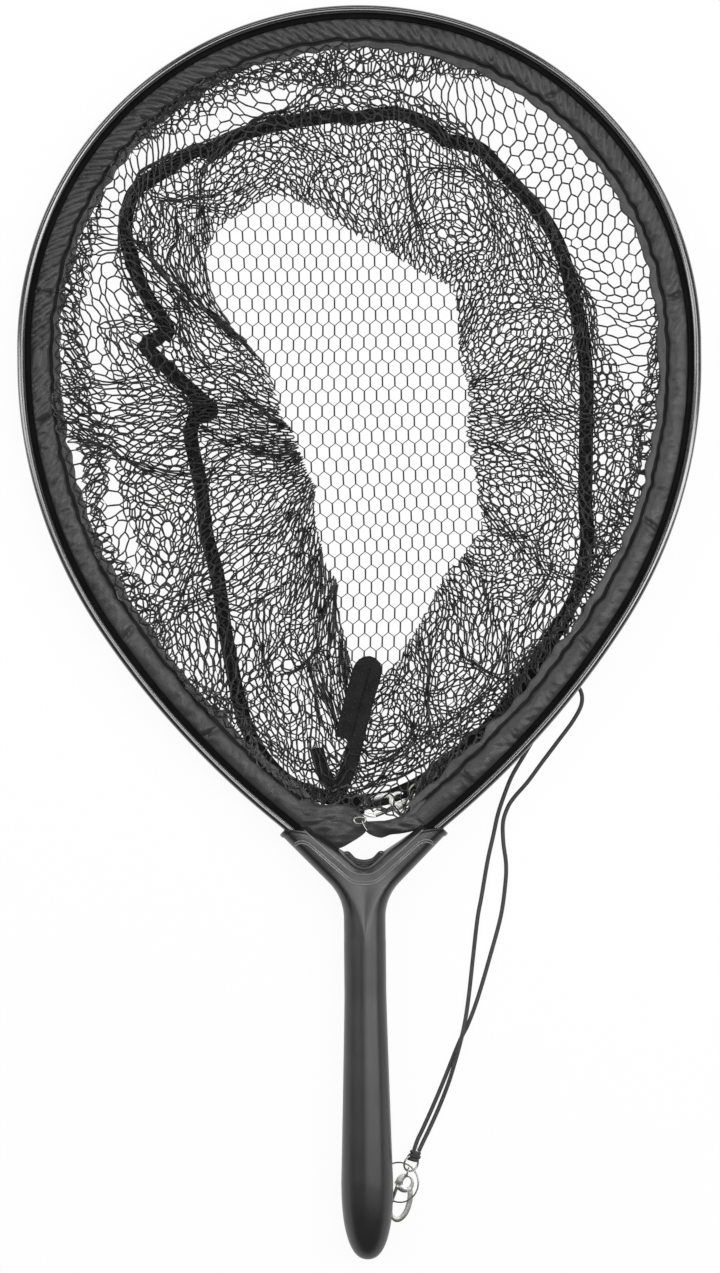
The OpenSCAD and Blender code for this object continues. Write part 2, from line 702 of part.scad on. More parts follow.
module hook_outline() {
    difference() {
        union() {
            difference() {
                polygon(oval(hook_c, hook_a, hook_b));
                polygon(oval(hook_c + [-0.4, 0], hook_a - hook_arm, hook_b - hook_arm));
                translate([-hook_a - 1, tip_y]) square([hook_a - 1, pin_place.y - tip_y]);
            }
            translate(head_c) circle(r = head_r);
        }
        polygon(oval(head_c + [1.2, 0.8], 2.3, 3.2));
    }
}
module clasp_body() {
    difference() {
        linear_extrude(clasp_t) hook_outline();
        translate([0, 0, (clasp_t - slot_h) / 2]) {
            linear_extrude(slot_h) gate_hub(gate_gap);
            linear_extrude(slot_h) gate_bar(gate_gap);
            linear_extrude(slot_h) translate(pin_place + slot_corner) square(slot_size);
        }
        translate([pin_place.x, pin_place.y, -1]) cylinder(d = pin_d, h = clasp_t + 2);
    }
    translate([0, -eye_back, ring_z - clasp_z]) rotate([0, 90, 0]) torus(eye_r, eye_wire);
    neck_from = [0, head_c.y + head_r - 1, clasp_t * 0.6];
    neck_to = [0, -eye_back - eye_r * 0.7, ring_z - clasp_z - eye_r * 0.7];
    rod = neck_to - neck_from;
    translate(neck_from) rotate([-acos(rod.z / norm(rod)), 0, 0])
        cylinder(d = eye_wire * 1.3, h = norm(rod));
}
module gate() {
    translate([0, 0, (clasp_t - gate_t) / 2])
    difference() {
        union() {
            linear_extrude(gate_t) gate_hub(0);
            linear_extrude(gate_t) gate_bar(0);
        }
        translate([pin_place.x, pin_place.y, -1])
            cylinder(d = pin_d + 2 * pin_clearance, h = gate_t + 2);
    }
}
module gate_pin() {
    translate([pin_place.x, pin_place.y, pin_sunk])
        cylinder(d = pin_d, h = clasp_t - 2 * pin_sunk);
}
module gate_spring() {
    translate([pin_place.x + spring_corner.x, pin_place.y + spring_corner.y,
               (clasp_t - spring_size.z) / 2]) cube(spring_size);
}
module at_upper() { clasp_place(upper_eye, upper_clasp_turn, upper_clasp_lift, true) children(); }
module at_lower() { clasp_place(lower_eye, lower_clasp_turn, lower_clasp_lift, false) children(); }
module upper_clasp() { color("silver") at_upper() clasp_body(); }
module upper_gate() { color("gainsboro") at_upper() gate(); }
module upper_gate_pin() { color("gray") at_upper() gate_pin(); }
module upper_gate_spring() { color("gray") at_upper() gate_spring(); }
module lower_clasp() { color("silver") at_lower() clasp_body(); }
module lower_gate() { color("gainsboro") at_lower() gate(); }
module lower_gate_pin() { color("gray") at_lower() gate_pin(); }
module lower_gate_spring() { color("gray") at_lower() gate_spring(); }

// Neck ring: it stands round the hook of the upper clasp and hangs in a tab below the netting
neck_ring_r = 4.3;
neck_ring_wire = 1.4;
neck_ring_low = 0.3;
neck_ring_z = neck_ring_low + neck_ring_wire / 2 + neck_ring_r;
tab_w = 3;
tab_bore = 2.3;
tab_wall = 1;
tab_gap = 0.3;
tab_rise = netting_high - netting_t - tab_gap - 0.8 - neck_ring_z - neck_ring_r;
module at_neck_ring() {
    translate([upper_eye.x, upper_eye.y, neck_ring_z]) rotate(upper_clasp_turn)
        translate([0, hook_arm / 2 - clasp_length, 0]) children();
}
module neck_ring() {
    color("silver") at_neck_ring() rotate([0, 90, 0]) torus(neck_ring_r, neck_ring_wire);
}
module neck_tab() {
    color([0.1, 0.1, 0.11])
    at_neck_ring() translate([0, tab_w / 2, neck_ring_r]) rotate([90, 0, 0])
    difference() {
        union() {
            cylinder(d = tab_bore + 2 * tab_wall, h = tab_w);
            translate([-tab_wall, 0, 0]) cube([2 * tab_wall, tab_rise, tab_w]);
        }
        translate([0, 0, -1]) cylinder(d = tab_bore, h = tab_w + 2);
    }
}

// Lanyard: two strands from the upper knot, under the hoop and along the floor to the lower knot
cord_z = 1.3;
right_route = [[35.5, -88.5, 5], [40, -82.5, 3], [48, -76, cord_z], [60, -67.5, cord_z],
    [76, -54.5, cord_z],
    [96, -41, cord_z], [113, -31.5, cord_z], [124, -29.5, cord_z], [131, -35.5, cord_z],
    [132, -44, cord_z], [127, -54, cord_z], [118, -66, cord_z], [108, -79, cord_z],
    [99, -91, cord_z], [91, -100, cord_z], [87, -106, cord_z], [84, -115, cord_z],
    [84, -127, cord_z], [85.5, -140, cord_z], [85, -152, cord_z], [82, -172, cord_z],
    [75, -197, cord_z], [68, -220, cord_z], [62, -236, cord_z], [56, -248, cord_z],
    [46.5, -271, cord_z], [40, -286, cord_z], [34, -299, 1.8], [30.5, -306, 3.6],
    [28.4, -311.8, 5]];
left_route = [[37.8, -90, 5], [43.5, -86, 3], [51, -80, cord_z], [62.5, -70.5, cord_z],
    [78, -57.5, cord_z],
    [92, -48.5, cord_z], [100, -46.5, cord_z], [105.5, -50, cord_z], [106.5, -56.5, cord_z],
    [104, -63, cord_z], [97.5, -74, cord_z], [90, -86.5, cord_z], [85.5, -97, cord_z],
    [81, -110, cord_z], [78, -123, cord_z], [74.5, -138, cord_z], [70.5, -160, cord_z],
    [68, -173, cord_z], [65, -197, cord_z], [62.5, -218, 1.6], [60, -234, 3.6],
    [57, -247, 4.3], [53, -261, 4.1], [49.5, -272, 2.6], [44, -286, cord_z],
    [38, -299, 1.8], [34.2, -306.5, 3.6], [31.2, -312.6, 5]];
cord_sides = 8;
cord_rings = 38;
function spline(p, t) =
    let (i = min(floor(t), len(p) - 2), u = t - i,
         a = p[max(i - 1, 0)], b = p[i], c = p[i + 1], d = p[min(i + 2, len(p) - 1)])
    0.5 * (2 * b + (c - a) * u + (2 * a - 5 * b + 4 * c - d) * u * u
           + (3 * b - a - 3 * c + d) * u * u * u);
module cord(route) {
    line = [for (k = [0 : cord_rings]) spline(route, (len(route) - 1) * k / cord_rings)];
    skin([for (k = [0 : cord_rings])
        let (way = unit(line[min(k + 1, cord_rings)] - line[max(k - 1, 0)]),
             across = unit(cross(way, [0, 0, 1])), up = cross(across, way))
        [for (i = [0 : cord_sides - 1])
            let (a = 360 * (i + 0.5) / cord_sides)
            line[k] + cord_d / 2 * (cos(a) * across - sin(a) * up)]], fan(cord_sides));
}
module lanyard_left() { color([0.18, 0.18, 0.19]) cord(left_route); }
module lanyard_right() { color([0.18, 0.18, 0.19]) cord(right_route); }

hoop();
handle_front();
handle_rear();
handle_screws();
hem();
hem_ends();
hem_wire();
side_netting();
bottom_netting();
bottom_tape();
neck_tape();
neck_tab();
neck_ring();
lanyard_left();
lanyard_right();
upper_knot();
upper_ring();
upper_clasp();
upper_gate();
upper_gate_pin();
upper_gate_spring();
lower_knot();
lower_ring();
lower_clasp();
lower_gate();
lower_gate_pin();
lower_gate_spring();
split_ring();
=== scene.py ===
# %% [markdown]
# # A landing net on a white table
# This lesson dresses the solid model of a landing net: a teardrop hoop on a moulded handle, a padded
# hem, a knitted bag that lies folded under the hoop, and an elastic lanyard with bright hardware.
# The frame holds every solid at its real size in metres, so each new piece is made where its solid is.

# %% Load the frame
import math

import bpy
import bmesh
import numpy as np
from mathutils import Matrix, Vector, noise


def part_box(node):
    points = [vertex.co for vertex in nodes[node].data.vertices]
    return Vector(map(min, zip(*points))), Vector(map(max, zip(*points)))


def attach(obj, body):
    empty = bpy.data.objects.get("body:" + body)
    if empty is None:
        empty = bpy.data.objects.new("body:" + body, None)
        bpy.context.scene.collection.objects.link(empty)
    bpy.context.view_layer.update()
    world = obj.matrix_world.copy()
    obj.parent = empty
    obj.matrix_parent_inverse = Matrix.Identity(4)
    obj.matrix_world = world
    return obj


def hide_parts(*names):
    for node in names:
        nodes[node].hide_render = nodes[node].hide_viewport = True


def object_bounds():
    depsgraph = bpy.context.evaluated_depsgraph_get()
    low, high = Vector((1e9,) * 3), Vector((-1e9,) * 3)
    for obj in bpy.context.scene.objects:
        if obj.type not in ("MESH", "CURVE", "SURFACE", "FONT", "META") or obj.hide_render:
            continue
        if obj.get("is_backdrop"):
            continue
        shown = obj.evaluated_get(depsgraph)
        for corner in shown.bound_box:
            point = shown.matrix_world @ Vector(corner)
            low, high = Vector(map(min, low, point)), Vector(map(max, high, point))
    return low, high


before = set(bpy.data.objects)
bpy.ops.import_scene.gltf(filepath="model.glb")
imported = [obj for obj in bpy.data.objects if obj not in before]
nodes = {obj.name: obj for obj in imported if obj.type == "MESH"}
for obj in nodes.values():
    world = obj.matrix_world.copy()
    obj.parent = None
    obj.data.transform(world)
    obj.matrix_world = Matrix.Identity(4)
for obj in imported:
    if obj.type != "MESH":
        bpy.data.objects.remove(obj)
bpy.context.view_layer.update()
scene = bpy.context.scene
MM = 0.001

# %% [markdown]
# ## Camera
# The picture was taken from straight above, so the camera looks down the Z axis from far away and the
# image's up is +Y. The frame of the photo is 720 x 1273 pixels at 0.6 mm each. The net lies with a
# slight turn in the picture, which a small roll of the camera gives.

# %% Camera
PHOTO_SIZE = (720, 1273)
PIXEL = 0.6 * MM
AXIS_PIXEL = 364.5
MIDDLE_PIXEL = 632.5
CAMERA_HEIGHT = 3.0
SUBJECT_Z = 15 * MM
CAMERA_ROLL = math.radians(0.55)
ROLL_CENTRE_PIXEL = (364.5, 900)


def from_photo(px, py):
    """Place on the table of a pixel of the photo."""
    return Vector(((px - AXIS_PIXEL) * PIXEL, (MIDDLE_PIXEL - py) * PIXEL))


view_middle = from_photo(PHOTO_SIZE[0] / 2, PHOTO_SIZE[1] / 2)
roll_centre = from_photo(*ROLL_CENTRE_PIXEL)
turned = Matrix.Rotation(-CAMERA_ROLL, 2) @ (view_middle - roll_centre) + roll_centre
camera_data = bpy.data.cameras.new("camera")
camera_data.lens = camera_data.sensor_width * CAMERA_HEIGHT / (PHOTO_SIZE[1] * PIXEL)
camera = bpy.data.objects.new("camera", camera_data)
camera.location = (turned.x, turned.y, CAMERA_HEIGHT + SUBJECT_Z)
camera.rotation_euler = (0, 0, -CAMERA_ROLL)
scene.collection.objects.link(camera)
scene.camera = camera
print("camera: lens", round(camera_data.lens, 1), "mm")

# %% [markdown]
# ## Shared effects of the finishes
# Several finishes need the same two effects: a fine grain in the surface, and soft marks from
# handling that change the gloss from place to place. Each is a node group that is built once and
# placed in each material with its own values. A third group draws the threads of woven cloth.

# %% Node groups
MARKS_FROM, MARKS_TO = 0.3, 0.7


def plug(tree, value, socket):
    """Links another node's output to a socket, or puts a plain value on it."""
    if isinstance(value, bpy.types.NodeSocket):
        tree.links.new(value, socket)
    else:
        socket.default_value = value


def new_node(tree, kind, **sockets):
    node = tree.nodes.new("ShaderNode" + kind)
    for label, value in sockets.items():
        plug(tree, value, node.inputs[label.replace("_", " ")])
    return node


def math_node(tree, operation, *values):
    node = tree.nodes.new("ShaderNodeMath")
    node.operation = operation
    for value, socket in zip(values, node.inputs):
        plug(tree, value, socket)
    return node.outputs[0]


def mix_colours(tree, factor, a, b):
    mix = tree.nodes.new("ShaderNodeMix")
    mix.data_type = "RGBA"
    for label, value in (("Factor", factor), ("A", a), ("B", b)):
        plug(tree, value, mix.inputs[label])
    return mix.outputs["Result"]


def new_group(name, inputs, output):
    """A group with number inputs, each a label and its first value, and one number output."""
    group = bpy.data.node_groups.new(name, "ShaderNodeTree")
    for label, value in inputs:
        socket = group.interface.new_socket(label, in_out="INPUT", socket_type="NodeSocketFloat")
        socket.default_value = value
    group.interface.new_socket(output, in_out="OUTPUT", socket_type="NodeSocketFloat")
    return group, group.nodes.new("NodeGroupInput"), group.nodes.new("NodeGroupOutput")


def noise_in_group(group, scale_socket, detail):
    place = group.nodes.new("ShaderNodeTexCoord").outputs["Object"]
    return new_node(group, "TexNoise", Detail=detail, Vector=place, Scale=scale_socket).outputs["Fac"]


grain_group, grain_in, grain_out = new_group(
    "fine_grain", [("Scale", 4000), ("Coarse Scale", 300)], "Height")
fine = noise_in_group(grain_group, grain_in.outputs["Scale"], 2)
coarse = noise_in_group(grain_group, grain_in.outputs["Coarse Scale"], 3)
grain_group.links.new(math_node(grain_group, "ADD", fine, coarse), grain_out.inputs["Height"])

marks_group, marks_in, marks_out = new_group(
    "handling_marks", [("Scale", 60), ("Low", 0.3), ("High", 0.5)], "Value")
marks = noise_in_group(marks_group, marks_in.outputs["Scale"], 5)
marks_range = new_node(marks_group, "MapRange", Value=marks, From_Min=MARKS_FROM, From_Max=MARKS_TO,
                       To_Min=marks_in.outputs["Low"], To_Max=marks_in.outputs["High"])
marks_group.links.new(marks_range.outputs["Result"], marks_out.inputs["Value"])

thread_group, thread_in, thread_out = new_group("woven_threads", [("Across", 800), ("Along", 800)], "Height")
thread_uv = thread_group.nodes.new("ShaderNodeTexCoord").outputs["UV"]
thread_split = new_node(thread_group, "SeparateXYZ", Vector=thread_uv)
thread_waves = []
for axis, label in (("X", "Across"), ("Y", "Along")):
    spread = math_node(thread_group, "MULTIPLY", thread_split.outputs[axis], thread_in.outputs[label])
    thread_waves.append(math_node(thread_group, "SINE", spread))
thread_height = math_node(thread_group, "MULTIPLY", *thread_waves)
thread_group.links.new(thread_height, thread_out.inputs["Height"])
print("node groups:", [g.name for g in (grain_group, marks_group, thread_group)])

# %% [markdown]
# ## Finishes
# Each finish starts from a Principled BSDF whose plain numbers sit on its own sockets. Its colour
# drifts a little between two shades, its gloss follows the handling marks, and its bump comes from
# the grain or from the threads.

# %% Finishes
COOL_TINT = 1.02


def place_group(material, group, **values):
    box = material.node_tree.nodes.new("ShaderNodeGroup")
    box.node_tree = group
    for label, value in values.items():
        box.inputs[label.replace("_", " ")].default_value = value
    return box


def add_bump(material, source, strength, distance):
    tree = material.node_tree
    bump = new_node(tree, "Bump", Strength=strength, Distance=distance, Height=source)
    last = tree.nodes["Principled BSDF"].inputs["Normal"]
    if last.is_linked:
        tree.links.new(last.links[0].from_socket, bump.inputs["Normal"])
    tree.links.new(bump.outputs["Normal"], last)


def add_grain(material, scale, coarse_scale, strength, distance):
    box = place_group(material, grain_group, Scale=scale, Coarse_Scale=coarse_scale)
    add_bump(material, box.outputs["Height"], strength, distance)


def add_threads(material, across, along, strength, distance):
    box = place_group(material, thread_group, Across=across, Along=along)
    add_bump(material, box.outputs["Height"], strength, distance)


def finish_material(name, dark, light, drift_scale, gloss, marks_scale, grain=None, **plain):
    """A Principled material that drifts from dark to light, with gloss marks from gloss[0] to gloss[1]."""
    material = bpy.data.materials.new(name)
    material.use_nodes = True
    tree = material.node_tree
    shader = tree.nodes["Principled BSDF"]
    drift = place_group(material, marks_group, Scale=drift_scale, Low=0.0, High=1.0)
    colour = mix_colours(tree, drift.outputs["Value"], (*dark, 1), (*light, 1))
    tree.links.new(colour, shader.inputs["Base Color"])
    marks_box = place_group(material, marks_group, Scale=marks_scale, Low=gloss[0], High=gloss[1])
    tree.links.new(marks_box.outputs["Value"], shader.inputs["Roughness"])
    for label, value in plain.items():
        shader.inputs[label.replace("_", " ")].default_value = value
    if grain:
        add_grain(material, *grain)
    return material


def grey(level):
    return (level, level, level * COOL_TINT)


# Two shades, scale of the drift, range of the gloss, scale of the marks.
# A grain has a fine and a coarse scale, a strength and a depth in metres.
rim_black = finish_material("rim_black", grey(0.004), grey(0.008), 30, (0.16, 0.24), 90,
                            grain=(1500, 120, 0.05, 0.0004), IOR=1.9, Coat_Weight=1.0, Coat_Roughness=0.1)
# The channel's near-black, dull finish is painted shade for the deep gap between the rim's tube and the hem.
channel_painted_shade = finish_material("channel_painted_shade", grey(0.002), grey(0.004), 60, (0.7, 0.9), 90,
                                grain=(1500, 120, 0.1, 0.0004), Specular_IOR_Level=0.1)
moulded_charcoal = finish_material("moulded_charcoal", grey(0.010), grey(0.017), 40, (0.29, 0.35), 70,
                                   grain=(3500, 500, 0.12, 0.0003), IOR=1.58)
# The ridges' pale grey is a painted highlight: it stands for the light that their round crests catch.
ridge_painted_highlight = finish_material("ridge_painted_highlight", grey(0.15), grey(0.22), 60, (0.22, 0.30), 90,
                                 grain=(3500, 500, 0.08, 0.0003), IOR=1.58)
hem_nylon = finish_material("hem_nylon", grey(0.022), grey(0.044), 55, (0.36, 0.5), 120,
                            grain=(900, 160, 0.35, 0.0006), Sheen_Weight=0.1, Sheen_Roughness=0.4)
wall_strand = finish_material("wall_strand", grey(0.009), grey(0.038), 240, (0.3, 0.45), 300,
                              grain=(2500, 900, 0.6, 0.0003), Specular_IOR_Level=0.6)
bottom_strand = finish_material("bottom_strand", grey(0.034), grey(0.068), 90, (0.5, 0.7), 200,
                                grain=(2500, 900, 0.6, 0.0003), Specular_IOR_Level=0.2)
woven_tape = finish_material("woven_tape", grey(0.009), grey(0.018), 120, (0.7, 0.85), 200,
                             Specular_IOR_Level=0.2)
cord_braid = finish_material("cord_braid", grey(0.042), grey(0.066), 300, (0.5, 0.65), 300,
                             grain=(1800, 900, 0.5, 0.0003), Specular_IOR_Level=0.3)
nickel = finish_material("nickel", (0.34, 0.34, 0.33), (0.46, 0.46, 0.45), 120, (0.28, 0.4), 220,
                         grain=(2500, 500, 0.05, 0.0002), Metallic=1.0)
screw_steel = finish_material("screw_steel", (0.42, 0.42, 0.43), (0.55, 0.55, 0.56), 300, (0.25, 0.4), 400,
                              grain=(3000, 900, 0.08, 0.0002), Metallic=1.0)
print("finishes:", len([m for m in bpy.data.materials if m.use_nodes]))

# %% [markdown]
# ## Helpers
# A few small helpers keep the later cells short: one deselects all and adds a primitive, one applies
# a modifier, and one gives a finished piece its material, its body and the solid that it stands for.
# Others read and move the vertices of a mesh as one array, and draw tubes along smooth lines.

# %% Helpers
WELD = 0.01 * MM
FINE_WELD = 0.005 * MM


def deselect_all():
    if bpy.context.object and bpy.context.object.mode != "OBJECT":
        bpy.ops.object.mode_set(mode="OBJECT")
    bpy.ops.object.select_all(action="DESELECT")


def make_active(piece):
    deselect_all()
    piece.select_set(True)
    bpy.context.view_layer.objects.active = piece


def primitive(name, operator, **settings):
    deselect_all()
    operator(**settings)
    piece = bpy.context.object
    piece.name = name
    return piece


def edit_mode(piece):
    make_active(piece)
    bpy.ops.object.mode_set(mode="EDIT")
    bpy.ops.mesh.select_all(action="SELECT")


def object_mode():
    bpy.ops.object.mode_set(mode="OBJECT")


def apply_modifier(piece, kind, **settings):
    make_active(piece)
    modifier = piece.modifiers.new(kind.lower(), kind)
    for label, value in settings.items():
        setattr(modifier, label, value)
    bpy.ops.object.modifier_apply(modifier=modifier.name)


def merge_and_face_out(piece, distance=WELD):
    edit_mode(piece)
    bpy.ops.mesh.remove_doubles(threshold=distance)
    bpy.ops.mesh.normals_make_consistent(inside=False)
    object_mode()


def smooth(piece, degrees):
    make_active(piece)
    bpy.ops.object.shade_smooth_by_angle(angle=math.radians(degrees))


def vertex_array(piece):
    places = np.empty(len(piece.data.vertices) * 3)
    piece.data.vertices.foreach_get("co", places)
    return places.reshape(-1, 3)


def set_vertices(piece, places):
    piece.data.vertices.foreach_set("co", np.asarray(places, float).ravel())
    piece.data.update()


def at_height(flat_places, z):
    """Flat places lifted to one height, or to a height each."""
    return np.column_stack([flat_places, np.broadcast_to(z, len(flat_places))])


def way_at(angle):
    return np.array([math.cos(angle), math.sin(angle)])


def unit_ways(angles):
    return np.stack([np.cos(angles), np.sin(angles)], 1)


def noise_at(x, y, z):
    """Smooth noise at each place. A plain number stands for a coordinate that all places share."""
    return np.array([noise.noise(Vector(place)) for place in np.broadcast(x, y, z)])


def dress(piece, material, body="net", stands_for=()):
    piece.data.materials.clear()
    piece.data.materials.append(material)
    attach(piece, body)
    if stands_for:
        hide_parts(*stands_for)


def rounded_line(points, per_span):
    """Points on a smooth curve through the given ones."""
    places = [np.array(p, float) for p in points]
    out = []
    for i in range(len(places) - 1):
        a = places[max(i - 1, 0)]
        b = places[i]
        c = places[i + 1]
        d = places[min(i + 2, len(places) - 1)]
        for step in range(per_span):
            u = step / per_span
            out.append(0.5 * (2 * b + (c - a) * u + (2 * a - 5 * b + 4 * c - d) * u * u
                              + (3 * b - a - 3 * c + d) * u ** 3))
    out.append(places[-1])
    return np.array(out)


def tube(name, line, radius, sides):
    """A closed tube along a line of points."""
    curve = bpy.data.curves.new(name, "CURVE")
    curve.dimensions = "3D"
    curve.bevel_depth = radius
    curve.bevel_resolution = max(sides // 2 - 2, 0)
    curve.use_fill_caps = True
    spline = curve.splines.new("POLY")
    spline.points.add(len(line) - 1)
    for point, place in zip(spline.points, line):
        point.co = (*place, 1)
    piece = bpy.data.objects.new(name, curve)
    scene.collection.objects.link(piece)
    make_active(piece)
    bpy.ops.object.convert(target="MESH")
    piece = bpy.context.object
    merge_and_face_out(piece)
    smooth(piece, 60)
    return piece


print("helpers ready")

# %% [markdown]
# ## Lanyard
# Two strands of round elastic cord run from a knot under the hoop, lie on the table in loose curves
# and meet at a second knot beside the butt. The photo shows each strand from where it comes out from
# under the hoop to its lower knot. A strand is a tube along a smooth line through given points, the
# same points that the solid model has. Its braid is only a grain in its finish.

# %% Lanyard strands
CORD_DIAMETER = 2.5 * MM
# Points of the routes in mm. A point without a height lies on the table.
LYING = 1.3
RIGHT_ROUTE = [(35.5, -88.5, 5), (40, -82.5, 3), (48, -76), (60, -67.5), (76, -54.5), (96, -41),
               (113, -31.5), (124, -29.5), (131, -35.5), (132, -44), (127, -54), (118, -66), (108, -79),
               (99, -91), (91, -100), (87, -106), (84, -115), (84, -127), (85.5, -140), (85, -152),
               (82, -172), (75, -197), (68, -220), (62, -236), (56, -248), (46.5, -271), (40, -286),
               (34, -299, 1.8), (30.5, -306, 3.6), (28.4, -311.8, 5)]
LEFT_ROUTE = [(37.8, -90, 5), (43.5, -86, 3), (51, -80), (62.5, -70.5), (78, -57.5), (92, -48.5),
              (100, -46.5), (105.5, -50), (106.5, -56.5), (104, -63), (97.5, -74), (90, -86.5),
              (85.5, -97), (81, -110), (78, -123), (74.5, -138), (70.5, -160), (68, -173), (65, -197),
              (62.5, -218, 1.6), (60, -234, 3.6), (57, -247, 4.3), (53, -261, 4.1), (49.5, -272, 2.6),
              (44, -286), (38, -299, 1.8), (34.2, -306.5, 3.6), (31.2, -312.6, 5)]


def cord_strand(name, route, node):
    points = [(x, y, *(height or [LYING])) for x, y, *height in route]
    line = rounded_line(np.array(points) * MM, 8)
    strand = tube(name, line, CORD_DIAMETER / 2, 10)
    dress(strand, cord_braid, stands_for=[node])


cord_strand("lanyard_right_strand", RIGHT_ROUTE, "lanyard_right")
cord_strand("lanyard_left_strand", LEFT_ROUTE, "lanyard_left")

# %% [markdown]
# ## Line of the hoop
# The hoop is made of arcs that run into each other: a half circle at the crown, a short straight run,
# a wide side arc, a wider lower arc and a straight end in the socket of the handle. All that follows
# the hoop is swept along this line, so it is worked out once, for the right half.

# %% Line of the hoop
SWEEP_WELD = 0.05 * MM
hoop_low, hoop_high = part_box("hoop")
CROWN_R = (hoop_high.x - hoop_low.x) / 2
CROWN_Y = hoop_high.y - CROWN_R
MID_Z = (hoop_low.z + hoop_high.z) / 2
CROWN_RUN = 9.6 * MM
SIDE_R = 288 * MM
SIDE_ANGLE = math.radians(33.4)
LOWER_R = 527 * MM
ARM_ANGLE = math.radians(50)
LOWER_ANGLE = ARM_ANGLE - SIDE_ANGLE
side_c = np.array([CROWN_R - SIDE_R, CROWN_Y - CROWN_RUN])
lower_c = side_c + (SIDE_R - LOWER_R) * way_at(-SIDE_ANGLE)
end_out = way_at(-ARM_ANGLE)
end_start = lower_c + LOWER_R * end_out
end_way = np.array([-math.sin(ARM_ANGLE), -math.cos(ARM_ANGLE)])
crown_len = CROWN_R * math.pi / 2
side_len = SIDE_R * SIDE_ANGLE
lower_len = LOWER_R * LOWER_ANGLE
to_side = crown_len + CROWN_RUN
to_lower = to_side + side_len
to_end = to_lower + lower_len


def rim_point(run, inset):
    """Point of the right half at a distance from the crown along the outer face, moved in by inset."""
    if run < crown_len:
        return np.array([0, CROWN_Y]) + (CROWN_R - inset) * way_at(math.pi / 2 - run / CROWN_R)
    if run < to_side:
        return np.array([CROWN_R - inset, CROWN_Y - (run - crown_len)])
    if run < to_lower:
        return side_c + (SIDE_R - inset) * way_at(-(run - to_side) / SIDE_R)
    if run < to_end:
        return lower_c + (LOWER_R - inset) * way_at(-SIDE_ANGLE - (run - to_lower) / LOWER_R)
    return end_start + (run - to_end) * end_way - inset * end_out


def hoop_place(places):
    """For each point: its distance from the crown along the hoop, negative on the left, and its inset."""
    x, y = np.abs(places[:, 0]), places[:, 1]
    crown_angle = np.arctan2(x, y - CROWN_Y)
    side_angle = np.arctan2(side_c[1] - y, x - side_c[0])
    lower_angle = np.arctan2(lower_c[1] - y, x - lower_c[0])
    flat = np.stack([x, y], 1) - end_start
    on_crown = y >= CROWN_Y
    on_run = ~on_crown & (y >= side_c[1])
    on_side = ~on_crown & ~on_run & (side_angle < SIDE_ANGLE)
    on_lower = ~on_crown & ~on_run & ~on_side & (lower_angle < ARM_ANGLE)
    zones = [on_crown, on_run, on_side, on_lower]
    run = np.select(zones, [CROWN_R * crown_angle, crown_len + CROWN_Y - y, to_side + SIDE_R * side_angle,
                            to_lower + LOWER_R * (lower_angle - SIDE_ANGLE)], to_end + flat @ end_way)
    inset = np.select(zones, [CROWN_R - np.hypot(x, y - CROWN_Y), CROWN_R - x,
                              SIDE_R - np.hypot(x - side_c[0], y - side_c[1]),
                              LOWER_R - np.hypot(x - lower_c[0], y - lower_c[1])], -(flat @ end_out))
    return np.where(places[:, 0] < 0, -run, run), inset


def sweep_along_hoop(name, section, run, finest):
    """Spins a closed section of (inset, height) points down the right half, then mirrors it."""
    piece = primitive(name, bpy.ops.mesh.primitive_circle_add, vertices=len(section), radius=0.01)
    set_vertices(piece, [(0, CROWN_Y + CROWN_R - inset, MID_Z + height) for inset, height in section])
    edit_mode(piece)
    for centre, radius, angle, move in (
            ((0, CROWN_Y), CROWN_R, math.pi / 2, (0, -CROWN_RUN, 0)),
            (side_c, SIDE_R, SIDE_ANGLE, None),
            (lower_c, LOWER_R, LOWER_ANGLE, (*(end_way * run), 0))):
        bpy.ops.mesh.spin(steps=max(int(radius * angle / finest), 2), angle=angle,
                          center=(*centre, MID_Z), axis=(0, 0, 1))
        if move:
            bpy.ops.mesh.extrude_region_move(TRANSFORM_OT_translate={"value": move})
    bpy.ops.mesh.edge_face_add()
    object_mode()
    apply_modifier(piece, "MIRROR", use_axis=(True, False, False), merge_threshold=SWEEP_WELD)
    merge_and_face_out(piece)
    return piece


print("half line of the hoop:", round(to_end, 3), "m")

# %% [markdown]
# ## Hoop
# The rim is a black extruded profile: a tube with a rounded crest, and on its inside a channel whose
# lips hold the bead of the hem. It could be a curve with a bevel, but spinning its section round the
# centre of each arc keeps true arcs and gives a mesh that can be read ring by ring.

# %% Hoop
RIM_TUBE_W = 5 * MM
RIM_HALF_D = 6 * MM
RIM_STEP = 4 * MM
CHANNEL_REACH = 8 * MM
CHANNEL_HALF_H = 3.2 * MM
CHANNEL_ROUND = 0.5 * MM
SLOT_HALF = 0.7 * MM
SLOT_DEEP = 1.6 * MM
EDGE_ROUND = 0.2 * MM
FACE_CLEAR = 0.05 * MM
HOOP_END_RUN = 38 * MM
CREST_STEPS = 14

crest_r = RIM_TUBE_W / 2
upper_rim = [(crest_r - crest_r * math.cos(math.pi * i / CREST_STEPS),
              RIM_HALF_D - crest_r + crest_r * math.sin(math.pi * i / CREST_STEPS))
             for i in range(CREST_STEPS + 1)]
upper_rim += [(RIM_TUBE_W, CHANNEL_HALF_H + EDGE_ROUND), (RIM_TUBE_W + EDGE_ROUND, CHANNEL_HALF_H),
              (CHANNEL_REACH - CHANNEL_ROUND, CHANNEL_HALF_H),
              (CHANNEL_REACH, CHANNEL_HALF_H - CHANNEL_ROUND),
              (CHANNEL_REACH, SLOT_HALF + EDGE_ROUND), (CHANNEL_REACH - EDGE_ROUND, SLOT_HALF),
              (CHANNEL_REACH - SLOT_DEEP, SLOT_HALF)]
rim_section = upper_rim + [(inset, -height) for inset, height in reversed(upper_rim)]
rim = sweep_along_hoop("rim", rim_section, HOOP_END_RUN, RIM_STEP)
smooth(rim, 35)
dress(rim, rim_black, stands_for=["hoop"])
# The faces of the channel take the painted shade of the gap.
rim.data.materials.append(channel_painted_shade)
centres = np.array([face.center for face in rim.data.polygons])
_, face_inset = hoop_place(centres)
shaded_channel_faces = face_inset > RIM_TUBE_W - FACE_CLEAR
